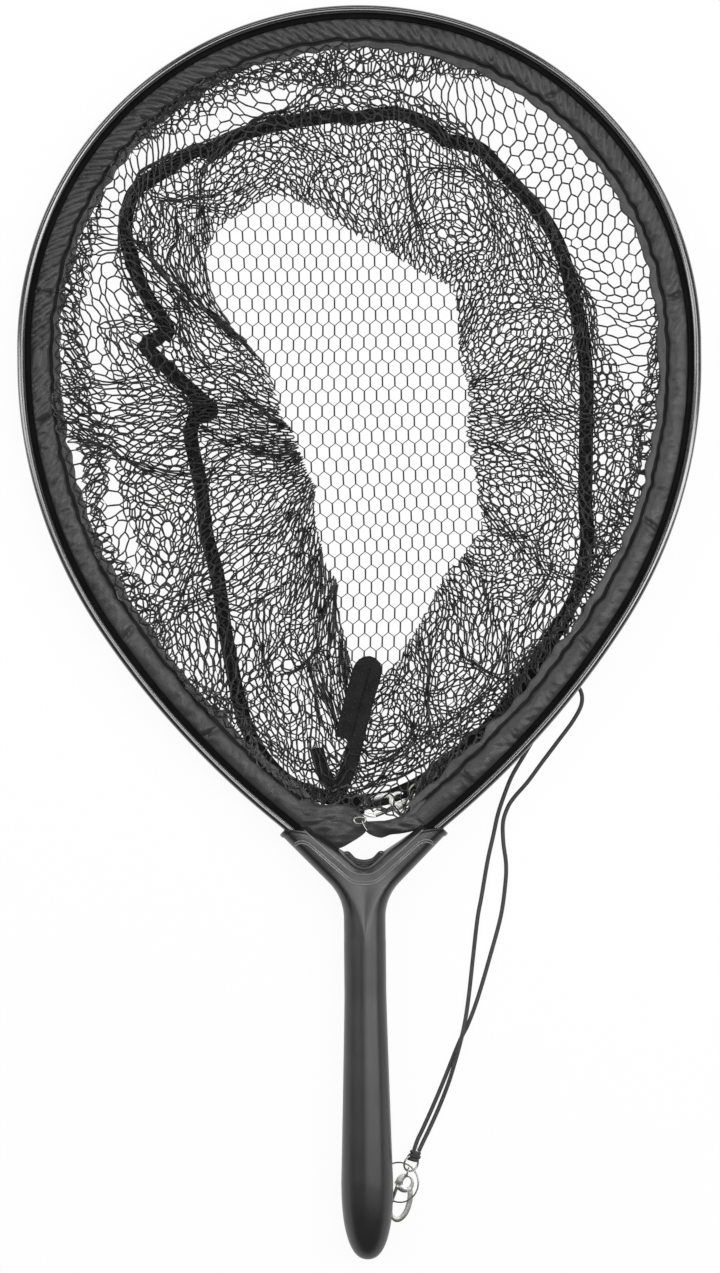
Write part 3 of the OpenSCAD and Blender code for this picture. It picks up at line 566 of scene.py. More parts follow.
shaded_channel_faces &= np.abs(centres[:, 2] - MID_Z) < CHANNEL_HALF_H + CHANNEL_ROUND
rim.data.polygons.foreach_set("material_index", shaded_channel_faces.astype(int))
print("rim:", len(rim.data.polygons), "faces")

# %% [markdown]
# ## Hem
# The mouth of the bag is sewn into a sleeve of satin nylon: a padded tube beside the rim, a groove with
# a line of stitches, and a flat flange that the netting hangs from. The tube puckers along its whole
# length, is gathered in slanted folds, and has deep tucks here and there. The sleeve is swept like the
# rim, with many rings, and then its vertices are moved: out and in with noises, and down into each tuck.
# A cloth simulation could wrinkle it too, but it would not put the tucks where the picture has them.

# %% Section of the hem
HEM_OUTER = 7.5 * MM
HEM_W = 12.3 * MM
HEM_HALF_H = 4 * MM
FLANGE_REACH = 25.8 * MM
FLANGE_HALF_T = 0.8 * MM
FLANGE_EDGE = 0.3 * MM
FLANGE_SHARES = (0.35, 0.55, 0.75, 0.92)
HEM_RUN = 18 * MM
HEM_STEP = 1.1 * MM
TUBE_STEPS = 18
TUBE_SHARE = 0.94
TUBE_POWER = 0.8
STITCH_GAP = 0.4 * MM
# Inset from the stitches and half height of the groove that they pull in
GROOVE = [(0, 0.12 * MM), (0.6 * MM, 0.14 * MM), (1.3 * MM, FLANGE_HALF_T)]

hem_tube_r = HEM_W / 2
upper_hem = []
for i in range(TUBE_STEPS + 1):
    angle = math.pi * (1 - TUBE_SHARE * i / TUBE_STEPS)
    upper_hem.append((HEM_OUTER + hem_tube_r + hem_tube_r * math.cos(angle),
                      HEM_HALF_H * math.sin(angle) ** TUBE_POWER))
stitch_inset = HEM_OUTER + HEM_W + STITCH_GAP
upper_hem += [(stitch_inset + further, height) for further, height in GROOVE]
upper_hem += [(stitch_inset + share * (FLANGE_REACH - stitch_inset), FLANGE_HALF_T)
              for share in FLANGE_SHARES]
upper_hem += [(FLANGE_REACH, FLANGE_EDGE)]
hem_section = upper_hem + [(inset, -height) for inset, height in reversed(upper_hem[1:])]
hem = sweep_along_hoop("hem_sleeve", hem_section, HEM_RUN, HEM_STEP)
print("section of the hem:", len(hem_section), "points")

# %% Wrinkles of the hem
PUCKER_LENGTH = 9 * MM
PUCKER_DEPTH = 0.8 * MM
FINE_PUCKER = 2.7
FLANGE_WAVE = 0.8 * MM
FLANGE_RIPPLE = 0.3 * MM
CREASE_LENGTH = 13 * MM
CREASE_DEPTH = 0.8 * MM
CREASE_WIDTH = 0.07
CREASE_SHARE = 0.35
GATHER_LENGTH = 7.5 * MM
GATHER_DEPTH = 2.4 * MM
GATHER_SWAY = 2.6
GATHER_POWER = 0.6
GATHER_MIDDLE = 0.7
GATHER_BASE = 0.45
GATHER_CLUSTER = 0.9
GATHER_CROWN = 1.2
GATHER_LEAST = 0.12
STITCH_WAVER = 1.6 * MM
STITCH_REACH = 2.5 * MM
SCALLOP = 3.2 * MM
SCALLOP_FROM = 5 * MM
SOFT_REACH = 3 * MM
RIM_REACH = 1.5 * MM
TUCK_WIDTH = 1.5 * MM
TUCK_DEPTH = 2.0 * MM
TUCK_SLANT = 0.35
TUCK_INSET = 14 * MM
TUCK_LIP = 0.6 * MM
TUCK_LIP_OFF = 3.5 * MM
TUCK_LIP_WIDTH = 2.2 * MM
TUCK_PIXELS = [(47, 289), (42, 417), (643, 522), (585, 643), (468, 778), (150, 118), (118, 640),
               (560, 96), (676, 300), (208, 735)]
# How fast the noises change across the hem, per metre of inset
PUCKER_SKEW = 60
PUCKER_ACROSS = 90
FINE_ACROSS = 150
CREASE_ACROSS = 45
# Noises along the hem: the length of their bumps in mm, and two numbers that pick a slice of the noise
HEM_NOISES = {"wave": (22, 5.3, 1.7), "cluster": (70, 2.2, 4.4), "sway": (30, 6.6, 0.4),
              "scallop": (11, 8.8, 2.9), "stitch": (8, 3.8, 1.9)}
# How far the dark band of stitches and painted groove shade reaches out and in from the stitches
STITCH_SHADE_OUT = 0.9 * MM
STITCH_SHADE_IN = 1.0 * MM

places = vertex_array(hem)
run, inset = hoop_place(places)
height = places[:, 2] - MID_Z
hem_noise = {name: noise_at(run / (length * MM), *cut) for name, (length, *cut) in HEM_NOISES.items()}
on_tube = np.clip((stitch_inset - inset) / SOFT_REACH, 0, 1) * np.clip((inset - HEM_OUTER) / RIM_REACH, 0, 1)
on_flange = np.clip((inset - stitch_inset) / SOFT_REACH, 0, 1)
on_stitch = np.exp(-((inset - stitch_inset) / STITCH_REACH) ** 2)
outward = np.sign(height) * on_tube
# The last number of each noise picks its slice, and the puckers above and below take two of them
puckers = run / PUCKER_LENGTH
ripple = noise_at(puckers + inset * PUCKER_SKEW, inset * PUCKER_ACROSS, 3.1 + np.copysign(0.2, height))
ripple += 0.5 * noise_at(puckers * FINE_PUCKER, inset * FINE_ACROSS, 7.7)
crease_line = noise_at(run / CREASE_LENGTH, inset * CREASE_ACROSS, 9.1)
crease = np.exp(-(crease_line / CREASE_WIDTH) ** 2) * np.clip(hem_noise["cluster"] + CREASE_SHARE, 0, 1)
lift = outward * PUCKER_DEPTH * ripple
lift += on_flange * (FLANGE_WAVE * hem_noise["wave"] + FLANGE_RIPPLE * ripple)
for px, py in TUCK_PIXELS:
    tuck_run = hoop_place(np.array([[*from_photo(px, py), 0]]))[0][0]
    off = (run - tuck_run) + TUCK_SLANT * (inset - TUCK_INSET) * math.sin(px)
    lift -= outward * TUCK_DEPTH * np.exp(-(off / TUCK_WIDTH) ** 2)
    lift += outward * TUCK_LIP * np.exp(-((off - TUCK_LIP_OFF) / TUCK_LIP_WIDTH) ** 2)
lift -= outward * CREASE_DEPTH * crease
phase = math.pi * (run - (inset - HEM_OUTER)) / GATHER_LENGTH + GATHER_SWAY * hem_noise["sway"]
# The gathers come in clusters, and they are strongest near the crown
near_crown = (places[:, 1] - CROWN_Y) / CROWN_Y
gathered = GATHER_BASE + GATHER_CLUSTER * hem_noise["cluster"] + GATHER_CROWN * near_crown
gathered = np.clip(gathered, GATHER_LEAST, 1)
lift += outward * GATHER_DEPTH * gathered * (np.abs(np.sin(phase)) ** GATHER_POWER - GATHER_MIDDLE)
places[:, 2] += lift
edge_shift = SCALLOP * on_flange ** 2 * hem_noise["scallop"]
edge_shift += STITCH_WAVER * on_stitch * hem_noise["stitch"]
for i in np.nonzero(inset > stitch_inset - SCALLOP_FROM)[0]:
    moved = rim_point(abs(run[i]), inset[i] + edge_shift[i])
    places[i, :2] = (math.copysign(moved[0], run[i]), moved[1])
set_vertices(hem, places)
smooth(hem, 60)
dress(hem, hem_nylon, stands_for=["hem"])
# The groove's faces take the black tape finish: partly the dark stitch thread, partly painted shade in the
# groove.
hem.data.materials.append(woven_tape)
for face in hem.data.polygons:
    if stitch_inset - STITCH_SHADE_OUT < inset[list(face.vertices)].mean() < stitch_inset + STITCH_SHADE_IN:
        face.material_index = 1
print("hem sleeve:", len(hem.data.polygons), "faces")

# %% [markdown]
# ## Bag: where the netting goes
# The bag hangs from the flange as a wall, and its flat bottom is bound to the wall by a tape. Laid on
# a table the wall folds: it runs in from the flange to an inner fold, and back out below to the tape.
# The solids give the fold and the tape by their angle about the middle of the bag, so a strand of the
# wall is placed by two numbers: how far round the hem it is, and how far down the wall.

# %% Bag outlines
BAG_DROP = 51 * MM
BAG_C = np.array([0, CROWN_Y - BAG_DROP])
SEWN_INSET = 22.5 * MM
SEWN_RUN = 5 * MM
EDGE_POINTS = 160
NECK_EDGE = np.array([(24, -110), (8, -106), (-8, -106), (-24, -110)]) * MM
FOLD_Z = 9 * MM
FOLD_SINK = 0.8 * MM
LEVEL_SPREAD = 0.2 * MM
wall_places = vertex_array(nodes["side_netting"])


def by_angle(offsets):
    """Angles of offsets from a middle, in rising order, and the reach at each."""
    angles = np.arctan2(offsets[:, 1], offsets[:, 0])
    order = np.argsort(angles)
    return angles[order], np.hypot(offsets[:, 0], offsets[:, 1])[order]


def reach_at(angle, outline):
    return np.interp(angle, *outline, period=2 * math.pi)


def wall_outline(z):
    """Outline about the middle of the bag, from the points of the wall's solid near a height."""
    near = np.abs(wall_places[:, 2] - z) < LEVEL_SPREAD
    return by_angle(wall_places[near][:, :2] - BAG_C)


fold_outline = wall_outline(FOLD_Z - FOLD_SINK)
tape_outline = wall_outline(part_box("side_netting")[0].z)
right_edge = np.array([rim_point(r, SEWN_INSET) for r in np.linspace(0, to_end + SEWN_RUN, EDGE_POINTS)])
hem_loop = np.concatenate([right_edge, NECK_EDGE, (right_edge * (-1, 1))[::-1]])
hem_steps = np.concatenate([[0], np.cumsum(np.linalg.norm(np.diff(hem_loop, axis=0), axis=1))])
hem_length = hem_steps[-1]


def hem_point(share):
    length = (share % 1.0) * hem_length
    return np.stack([np.interp(length, hem_steps, hem_loop[:, axis]) for axis in (0, 1)], -1)


print("hem loop:", round(hem_length, 3), "m, fold from", len(fold_outline[0]), "points")

# %% [markdown]
# ## Netting
# The bag is knitted without knots in six-sided gaps. One gap is a filled circle of six vertices, two
# arrays repeat it into a sheet, and merging its doubles makes one net. The sheet's vertices are then
# moved onto the path of the wall: from the hem in and out twice where it is gathered, then in to the
# fold, out below and back to the tape. Where the path is shorter than the wall is deep, the gaps crowd
# toward its end. Noise gives the slack, and the Wireframe modifier turns the edges into strands. Each
# strand of the wall is cut once in its middle first, so that it can bow.

# %% Net sheets
NOISE_SEED = 2
MERGE_SHARE = 0.05
# Without a seed of its own the noise vectors would differ from run to run
noise.seed_set(NOISE_SEED)


def hex_sheet(name, pitch, columns, rows, tall):
    """A flat sheet of six-sided faces: pairs of rows, the second half a pitch along."""
    piece = primitive(name, bpy.ops.mesh.primitive_circle_add, vertices=6, radius=pitch / math.sqrt(3),
                      fill_type="NGON")
    row_step = pitch * math.sqrt(3) / 2
    edit_mode(piece)
    bpy.ops.mesh.duplicate_move(TRANSFORM_OT_translate={"value": (pitch / 2, row_step, 0)})
    object_mode()
    for count, step in ((columns, (pitch, 0, 0)), (rows // 2, (0, 2 * row_step, 0))):
        apply_modifier(piece, "ARRAY", count=count, use_relative_offset=False, use_constant_offset=True,
                       constant_offset_displace=step)
    merge_and_face_out(piece, pitch * MERGE_SHARE)
    set_vertices(piece, vertex_array(piece) * (1, tall, 1))
    return piece


def cut_strands(piece):
    """Adds a vertex in the middle of each edge, and leaves the faces whole."""
    mesh = bmesh.new()
    mesh.from_mesh(piece.data)
    for edge in list(mesh.edges):
        bmesh.utils.edge_split(edge, edge.verts[0], 0.5)
    mesh.to_mesh(piece.data)
    mesh.free()


def delete_faces(piece, is_gone):
    mesh = bmesh.new()
    mesh.from_mesh(piece.data)
    bmesh.ops.delete(mesh, geom=[face for face in mesh.faces if is_gone(face)], context="FACES")
    mesh.to_mesh(piece.data)
    mesh.free()


def slack(places, scale, seed):
    """A smooth random vector for each place, from a noise of that wavelength."""
    shift = Vector((seed, 2 * seed, -seed))
    return np.array([noise.noise_vector(Vector(p) / scale + shift) for p in places])


def strands(piece, thickness):
    apply_modifier(piece, "WIREFRAME", thickness=thickness, use_even_offset=False, use_relative_offset=False,
                   use_boundary=True, use_replace=True)
    smooth(piece, 80)


print("noise seed:", NOISE_SEED)

# %% Path of the wall
WALL_PITCH = 9.0 * MM
WALL_TALL = 1.1
WALL_HEIGHT = 420 * MM
FLANGE_TOP = MID_Z + FLANGE_HALF_T + 0.7 * MM
FLANGE_UNDER = MID_Z - FLANGE_HALF_T - 0.9 * MM
# The wall is sewn on top of the flange on the left and under it on the right: half width of the change
OVER_HALF_W = 30 * MM
BULGE_Z = 5.6 * MM
LOW_Z = 3.9 * MM
HEM_CLEAR = 5 * MM
PLEAT_LENGTH = 42 * MM
PLEAT_SHIFT = 0.008
PLEAT_FADE = 4
OUT_SHARE = 0.25
OUT_MOST = 3 * MM
AGAIN_SHARE = 0.8
LAYER_DROPS = [1.2 * MM, 0.6 * MM, 2.4 * MM, -0.2 * MM]
MOST_CROWDING = 0.42
# How far the slack of the wall bulges out past the tape, by angle in degrees, in mm
BULGE = [(-180, 50), (-150, 48), (-125, 36), (-100, 10), (-80, 12), (-60, 36), (-35, 36), (-10, 30), (5, 26),
         (20, 14), (40, 4), (60, 5), (80, 18), (95, 20), (110, 6), (135, 5), (150, 22), (165, 42), (180, 50)]
# Where the wall is gathered beside the hem: pixel, spread in pixels, depth in mm
GATHER_PIXELS = [(360, 50, 110, 28), (200, 95, 70, 16), (60, 420, 90, 34), (120, 610, 70, 18),
                 (625, 560, 80, 22), (670, 400, 90, 16), (540, 690, 60, 18), (215, 735, 55, 14),
                 (60, 250, 60, 18), (325, 812, 45, 18), (440, 790, 40, 14)]

columns = int(hem_length / WALL_PITCH)
rows = 2 * int(WALL_HEIGHT / (WALL_PITCH * WALL_TALL * math.sqrt(3)))
wall = hex_sheet("wall_netting_right", WALL_PITCH, columns, rows, WALL_TALL)
cut_strands(wall)
flat = vertex_array(wall)
share = flat[:, 0] / (columns * WALL_PITCH)
down = (flat[:, 1] - flat[:, 1].min()) / np.ptp(flat[:, 1])
around = unit_ways(2 * math.pi * share) * hem_length / (2 * math.pi)
sheet_place = at_height(around, down * WALL_HEIGHT)
pleat = slack(sheet_place, PLEAT_LENGTH, 11)
sewn = hem_point(share)
shifted = hem_point(share + PLEAT_SHIFT * pleat[:, 0] * np.minimum(down * PLEAT_FADE, 1))
angle = np.arctan2(shifted[:, 1] - BAG_C[1], shifted[:, 0] - BAG_C[0])
ray = unit_ways(angle)
fold = BAG_C + ray * reach_at(angle, fold_outline)[:, None]
tape_reach = reach_at(angle, tape_outline)
bulge = np.interp(np.degrees(angle), [a for a, _ in BULGE], [mm * MM for _, mm in BULGE])
hem_reach = np.linalg.norm(shifted - BAG_C, axis=1)
out = BAG_C + ray * np.minimum(tape_reach + bulge, hem_reach - HEM_CLEAR)[:, None]
low = BAG_C + ray * tape_reach[:, None]
over_hem = np.clip((OVER_HALF_W - sewn[:, 0]) / (2 * OVER_HALF_W), 0, 1)
sewn_z = FLANGE_UNDER + (FLANGE_TOP - FLANGE_UNDER) * over_hem
gather = np.zeros(len(sewn))
for px, py, size, depth in GATHER_PIXELS:
    apart = ((sewn - np.array(from_photo(px, py))) ** 2).sum(1)
    gather += depth * MM * np.exp(-apart / (size * PIXEL) ** 2)
gathered_in = shifted - ray * gather[:, None]
gathered_out = shifted + ray * np.minimum(gather * OUT_SHARE, OUT_MOST)[:, None]
gathered_again = shifted - ray * gather[:, None] * AGAIN_SHARE
layers = [gathered_in, gathered_out, gathered_again, gathered_out]
stations = [at_height(sewn, sewn_z)]
stations += [at_height(layer, sewn_z - drop) for layer, drop in zip(layers, LAYER_DROPS)]
to_fold_legs = len(stations)
stations += [at_height(fold, FOLD_Z), at_height(out, BULGE_Z), at_height(low, LOW_Z)]
legs = [np.linalg.norm(b - a, axis=1) for a, b in zip(stations, stations[1:])]
path_length = sum(legs)
crowding = np.clip(1 - path_length / WALL_HEIGHT, 0, MOST_CROWDING)
along = path_length / (1 - crowding) * (down - crowding * down ** 2)
print("path down the wall:", np.round(np.percentile(path_length, [0, 50, 100]), 3), "m")

# %% Slack of the wall
WALL_STRAND = 1.1 * MM
LEAST_LEG = 1e-6
LOOSE_FADE = 6
LAYERS_APART = 0.6
FOLD_HOLD = 25 * MM
# Wanderings of the strands: wavelength, seed, amount, and the share of it that the fold holds back
WANDERS = [(48 * MM, 3, 13 * MM, 0.75), (14 * MM, 5, 3 * MM, 0.7)]
LIFT_LENGTH = 35 * MM
LIFT = 2.6 * MM
LEAST_Z = 3.4 * MM
MOST_Z = 20 * MM
# Where the strands bunch together: pixel, spread in pixels, share of the way that they are pulled in
BUNCH_PIXELS = [(110, 430, 70, 0.18), (185, 600, 50, 0.2), (545, 560, 55, 0.25), (330, 90, 60, 0.2),
                (600, 420, 40, 0.15), (370, 160, 50, 0.15)]

left_over = along
wall_place = stations[0].copy()
for leg, a, b in zip(legs, stations, stations[1:]):
    wall_place += (b - a) * np.clip(left_over / np.maximum(leg, LEAST_LEG), 0, 1)[:, None]
    left_over = left_over - leg
flat_place = wall_place[:, :2]
loose = np.minimum(down * LOOSE_FADE, 1) * np.minimum((1 - down) * LOOSE_FADE, 1)
layered = at_height(flat_place, down * WALL_HEIGHT * LAYERS_APART)
at_the_fold = np.exp(-((along - sum(legs[:to_fold_legs])) / FOLD_HOLD) ** 2)[:, None]
wander = sum(slack(layered, length, seed) * amount * (1 - held * at_the_fold)
             for length, seed, amount, held in WANDERS)
flat_place += wander[:, :2] * loose[:, None]
for px, py, size, pull in BUNCH_PIXELS:
    offset = np.array(from_photo(px, py)) - flat_place
    near = np.exp(-(offset ** 2).sum(1) / (size * PIXEL) ** 2) * loose
    flat_place += offset * (pull * near)[:, None]
wall_z = wall_place[:, 2] + slack(sheet_place, LIFT_LENGTH, 8)[:, 2] * LIFT * loose
set_vertices(wall, at_height(flat_place, np.clip(wall_z, LEAST_Z, MOST_Z)))
left_wall = wall.copy()
left_wall.data = wall.data.copy()
left_wall.name = "wall_netting_left"
scene.collection.objects.link(left_wall)
for half, keep in ((wall, share < 0.5), (left_wall, share >= 0.5)):
    delete_faces(half, lambda face: not keep[face.verts[0].index])
    strands(half, WALL_STRAND)
    dress(half, wall_strand)
    print(half.name, len(half.data.polygons), "faces")
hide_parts("side_netting")
print("wall netting:", columns, "x", rows, "gaps")

# %% Bottom netting
BOTTOM_PITCH = 7.5 * MM
BOTTOM_STRAND = 0.6 * MM
BOTTOM_JOINT = 0.95 * MM
BOTTOM_Z = 0.75 * MM
BOTTOM_TALL = 1.25
BOTTOM_MARGIN = 2 * MM
WARP_LENGTH = 110 * MM
WARP = 5 * MM
# The strands that run up the net are drawn again as thicker joints: the most that they lean
JOINT_LEAN = 0.45
bottom_low, bottom_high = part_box("bottom_netting")
bottom_columns = int((bottom_high.x - bottom_low.x) / BOTTOM_PITCH) + 2
bottom_rows = 2 * (int((bottom_high.y - bottom_low.y) / (BOTTOM_PITCH * BOTTOM_TALL * math.sqrt(3))) + 2)
bottom = hex_sheet("bottom_netting_strands", BOTTOM_PITCH, bottom_columns, bottom_rows, BOTTOM_TALL)
places = vertex_array(bottom)
places[:, :2] += np.array([bottom_low.x, bottom_low.y])
places[:, :2] += slack(places, WARP_LENGTH, 21)[:, :2] * WARP
places[:, 2] = BOTTOM_Z
set_vertices(bottom, places)


def past_tape(face):
    offset = np.array(face.calc_center_median()[:2]) - BAG_C
    return np.hypot(*offset) > reach_at(math.atan2(offset[1], offset[0]), tape_outline) + BOTTOM_MARGIN


delete_faces(bottom, past_tape)
joints = bmesh.new()
for edge in bottom.data.edges:
    a, b = [bottom.data.vertices[i].co for i in edge.vertices]
    if abs(a.x - b.x) < abs(a.y - b.y) * JOINT_LEAN:
        joints.edges.new([joints.verts.new(a), joints.verts.new(b)])
joint_mesh = bpy.data.meshes.new("bottom_joints")
joints.to_mesh(joint_mesh)
joints.free()
joint_piece = bpy.data.objects.new("bottom_joints", joint_mesh)
scene.collection.objects.link(joint_piece)
make_active(joint_piece)
bpy.ops.object.convert(target="CURVE")
joint_piece.data.bevel_depth = BOTTOM_JOINT / 2
joint_piece.data.bevel_resolution = 0
joint_piece.data.use_fill_caps = True
bpy.ops.object.convert(target="MESH")
joint_piece = bpy.context.object
merge_and_face_out(joint_piece)
smooth(joint_piece, 80)
dress(joint_piece, bottom_strand)
strands(bottom, BOTTOM_STRAND)
dress(bottom, bottom_strand, stands_for=["bottom_netting"])
print("bottom netting:", len(bottom.data.polygons), "faces")

# %% [markdown]
# ## Binding tape
# A black woven tape binds the wall to the bottom. It lies in a loose loop with a fold in it on the left,
# where it doubles back. Each length of tape is a plane cut into a grid whose vertices are laid along a
# route of listed pixels, and which the Solidify modifier then makes thick. The grid's own UV map
# runs along the tape and across it, so two rows of paler stitches can be drawn from it.

# %% Tape helper
TAPE_W = 8.6 * MM
TAPE_T = 1.1 * MM
TAPE_STEP = 1.6 * MM
TAPE_RIPPLE = 0.5 * MM
RIPPLE_LENGTH = 14 * MM
RIPPLE_WIDTH = 9 * MM
STITCH_PITCH = 4.2 * MM
STITCH_SIZE = 0.7 * MM
STITCH_ROW = 0.24
STITCH_COLOUR = (0.024, 0.024, 0.025, 1)
THREAD_LONG = 1.0 * MM
THREAD_WIDE = 1.4 * MM


def ribbon(name, pixels, heights, width, thickness):
    """A band through pixels of the photo, at one height or at a height for each of them."""
    rise = np.broadcast_to(heights, len(pixels))
    line = rounded_line([(*from_photo(px, py), z) for (px, py), z in zip(pixels, rise)], 10)
    spacing = np.linalg.norm(np.diff(line, axis=0), axis=1)
    length = spacing.sum()
    at = np.linspace(0, length, max(int(length / TAPE_STEP), 8))
    steps = np.concatenate([[0], np.cumsum(spacing)])
    line = np.column_stack([np.interp(at, steps, line[:, axis]) for axis in range(3)])
    piece = primitive(name, bpy.ops.mesh.primitive_grid_add, x_subdivisions=len(line) - 1, y_subdivisions=4,
                      size=1)
    ahead = np.gradient(line[:, :2], axis=0)
    ahead /= np.linalg.norm(ahead, axis=1)[:, None]
    side = np.column_stack([-ahead[:, 1], ahead[:, 0]])
    places = vertex_array(piece)
    index = np.rint((places[:, 0] + 0.5) * (len(line) - 1)).astype(int)
    across = places[:, 1] * width
    wobble = noise_at(at[index] / RIPPLE_LENGTH, across / RIPPLE_WIDTH, len(name))
    flat_place = line[index, :2] + side[index] * across[:, None]
    set_vertices(piece, at_height(flat_place, line[index, 2] + TAPE_RIPPLE * wobble))
    apply_modifier(piece, "SOLIDIFY", thickness=thickness, offset=0)
    merge_and_face_out(piece)
    for loop in piece.data.uv_layers[0].data:
        loop.uv = (loop.uv[0] * length, loop.uv[1] * width)
    smooth(piece, 50)
    return piece, length


stitch_tree = woven_tape.node_tree
stitch_uv = stitch_tree.nodes.new("ShaderNodeTexCoord").outputs["UV"]
stitch_split = new_node(stitch_tree, "SeparateXYZ", Vector=stitch_uv)


def distance_from(value, place):
    return math_node(stitch_tree, "ABSOLUTE", math_node(stitch_tree, "SUBTRACT", value, place))


turn = math_node(stitch_tree, "MODULO", stitch_split.outputs["X"], STITCH_PITCH)
from_stitch = distance_from(turn, STITCH_PITCH / 2)
from_row = distance_from(distance_from(stitch_split.outputs["Y"], TAPE_W / 2), TAPE_W * STITCH_ROW)
apart = math_node(stitch_tree, "ADD", from_stitch, from_row)
stitch = math_node(stitch_tree, "LESS_THAN", apart, STITCH_SIZE)
tape_colour = stitch_tree.nodes["Principled BSDF"].inputs["Base Color"]
stitched = mix_colours(stitch_tree, stitch, tape_colour.links[0].from_socket, STITCH_COLOUR)
stitch_tree.links.new(stitched, tape_colour)
add_threads(woven_tape, 2 * math.pi / THREAD_LONG, 2 * math.pi / THREAD_WIDE, 0.6, 0.0003)
print("tape: a stitch every", STITCH_PITCH / MM, "mm")

# %% Bottom tape
TAPE_LOW = 2.2 * MM
FOLD_LIFT = 1.3 * MM
TAPE_RIGHT = [(344, 112), (360, 116), (383, 113), (406, 112), (438, 124), (452, 138), (470, 142), (489, 149),
              (507, 168), (530, 193), (551, 218), (567, 248), (578, 287), (585, 319), (592, 369), (592, 415),
              (591, 460), (590, 507), (592, 541), (586, 575), (580, 596), (567, 621), (540, 664), (500, 718),
              (465, 752), (425, 782), (388, 799)]
TAPE_LEFT_LOW = [(206, 400), (197, 420), (195, 438), (204, 484), (209, 530), (220, 575), (226, 621),
                 (230, 646), (241, 703), (253, 738), (272, 766), (296, 786), (330, 798), (362, 802),
                 (392, 798)]
TAPE_LEFT_FOLD = [(178, 324), (160, 336), (150, 343), (158, 352), (185, 378), (212, 403), (216, 409),
                  (206, 414), (196, 416)]
TAPE_LEFT_HIGH = [(350, 112), (320, 116), (298, 119), (270, 125), (243, 133), (222, 149), (202, 147),
                  (174, 165), (145, 183), (135, 200), (131, 230), (142, 271), (156, 300), (172, 324),
                  (168, 336)]
for label, route, z in (("right", TAPE_RIGHT, TAPE_LOW), ("left_low", TAPE_LEFT_LOW, TAPE_LOW),
                        ("left_fold", TAPE_LEFT_FOLD, TAPE_LOW + FOLD_LIFT),
                        ("left_high", TAPE_LEFT_HIGH, TAPE_LOW)):
    part, length = ribbon("bottom_tape_" + label, route, z, TAPE_W, TAPE_T)
    dress(part, woven_tape)
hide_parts("bottom_tape")

# %% Neck tape
NECK_W = 9.5 * MM
NECK_T = TAPE_T * 1.4
NECK_LOOP = [(340, 792), (352, 762), (360, 730), (368, 700), (376, 672), (372, 664), (364, 668), (357, 690),
             (350, 715), (344, 738)]
NECK_LOOP_Z = [v * MM for v in (12.5, 13.0, 13.4, 13.8, 14.6, 15.2, 15.6, 15.6, 15.2, 14.4)]
NECK_SIDE = [(318, 748), (322, 764), (329, 780), (343, 799)]
NECK_SIDE_Z = 12.2 * MM
neck_loop, _ = ribbon("neck_tape_loop", NECK_LOOP, NECK_LOOP_Z, NECK_W, NECK_T)
dress(neck_loop, woven_tape, stands_for=["neck_tape"])
neck_side, _ = ribbon("neck_tape_side", NECK_SIDE, NECK_SIDE_Z, TAPE_W, NECK_T)
dress(neck_side, woven_tape)
print("neck tape: 2 lengths")

# %% [markdown]
# ## Loose ends of the hem
# At the neck the sleeve is open: each end of the cloth is gathered and falls over the other in front of
# the yoke. A sphere is pressed into the outline of each end, and a noise gathers its cloth. The end of
# the wire in the hem shows beside them as a small eye.

# %% Loose ends of the hem
LEFT_END = [(287, 805), (296, 820), (304, 830), (321, 838), (337, 848), (352, 842), (367, 831), (367, 819),
            (352, 806), (337, 804), (322, 804), (303, 799)]
RIGHT_END = [(362, 824), (368, 833), (381, 838), (391, 835), (401, 834), (412, 832), (424, 828), (430, 822),
             (439, 806), (424, 800), (405, 815), (384, 821), (372, 820)]
LEFT_RISE = 1.0 * MM
RIGHT_SINK = 0.6 * MM
END_HALF_H = 3.8 * MM
END_POWER = 0.7
END_GATHER = 1.6 * MM
END_FADE = 3
END_PLEATS = (9 * MM, 3.5 * MM)
EYE_PIXEL = (360.5, 820)
EYE_BAR = [(354.5, 818), (360, 816.8), (367, 818)]
EYE_TAIL = [(362.6, 820.5), (364.5, 825), (367.5, 830)]
EYE_Z = MID_Z + 5.2 * MM
EYE_R = 2.9 * MM
EYE_SQUASH = (1.2, 0.7, 1)
EYE_WIRE = 1.1 * MM
TAIL_LIFT = 0.3 * MM


def soft_end(name, pixels, z, seed):
    corners = np.array([from_photo(px, py) for px, py in pixels])
    outline = rounded_line(np.concatenate([corners, corners[:2]]), 6)
    middle = corners.mean(0)
    piece = primitive(name, bpy.ops.mesh.primitive_uv_sphere_add, segments=96, ring_count=32, radius=1)
    unit = vertex_array(piece)
    side = np.sign(unit[:, 2])
    steep = np.abs(unit[:, 2])
    turn = np.arctan2(unit[:, 1], unit[:, 0])
    reach = np.hypot(unit[:, 0], unit[:, 1]) * reach_at(turn, by_angle(outline - middle))
    places = at_height(middle + unit_ways(turn) * reach[:, None], z + side * steep ** END_POWER * END_HALF_H)
    pleats = noise_at(places[:, 0] / END_PLEATS[0] + seed, places[:, 1] / END_PLEATS[1], seed)
    places[:, 2] += side * END_GATHER * pleats * np.minimum(steep * END_FADE, 1)
    set_vertices(piece, places)
    smooth(piece, 60)
    return piece


left_end = soft_end("hem_end_left", LEFT_END, MID_Z + LEFT_RISE, 3.7)
right_end = soft_end("hem_end_right", RIGHT_END, MID_Z - RIGHT_SINK, 8.2)
for part in (left_end, right_end):
    dress(part, hem_nylon)
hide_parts("hem_ends")
eye = primitive("wire_eye", bpy.ops.mesh.primitive_torus_add, major_radius=EYE_R, minor_radius=EYE_WIRE / 2,
                major_segments=32, minor_segments=10)
set_vertices(eye, vertex_array(eye) * EYE_SQUASH + (*from_photo(*EYE_PIXEL), EYE_Z))
smooth(eye, 60)
dress(eye, nickel)
for label, route in (("bar", EYE_BAR), ("tail", EYE_TAIL)):
    line = rounded_line([(*from_photo(px, py), EYE_Z + TAIL_LIFT) for px, py in route], 5)
    dress(tube("wire_eye_" + label, line, EYE_WIRE / 2, 8), nickel)
print("hem ends: 2, and a wire eye")

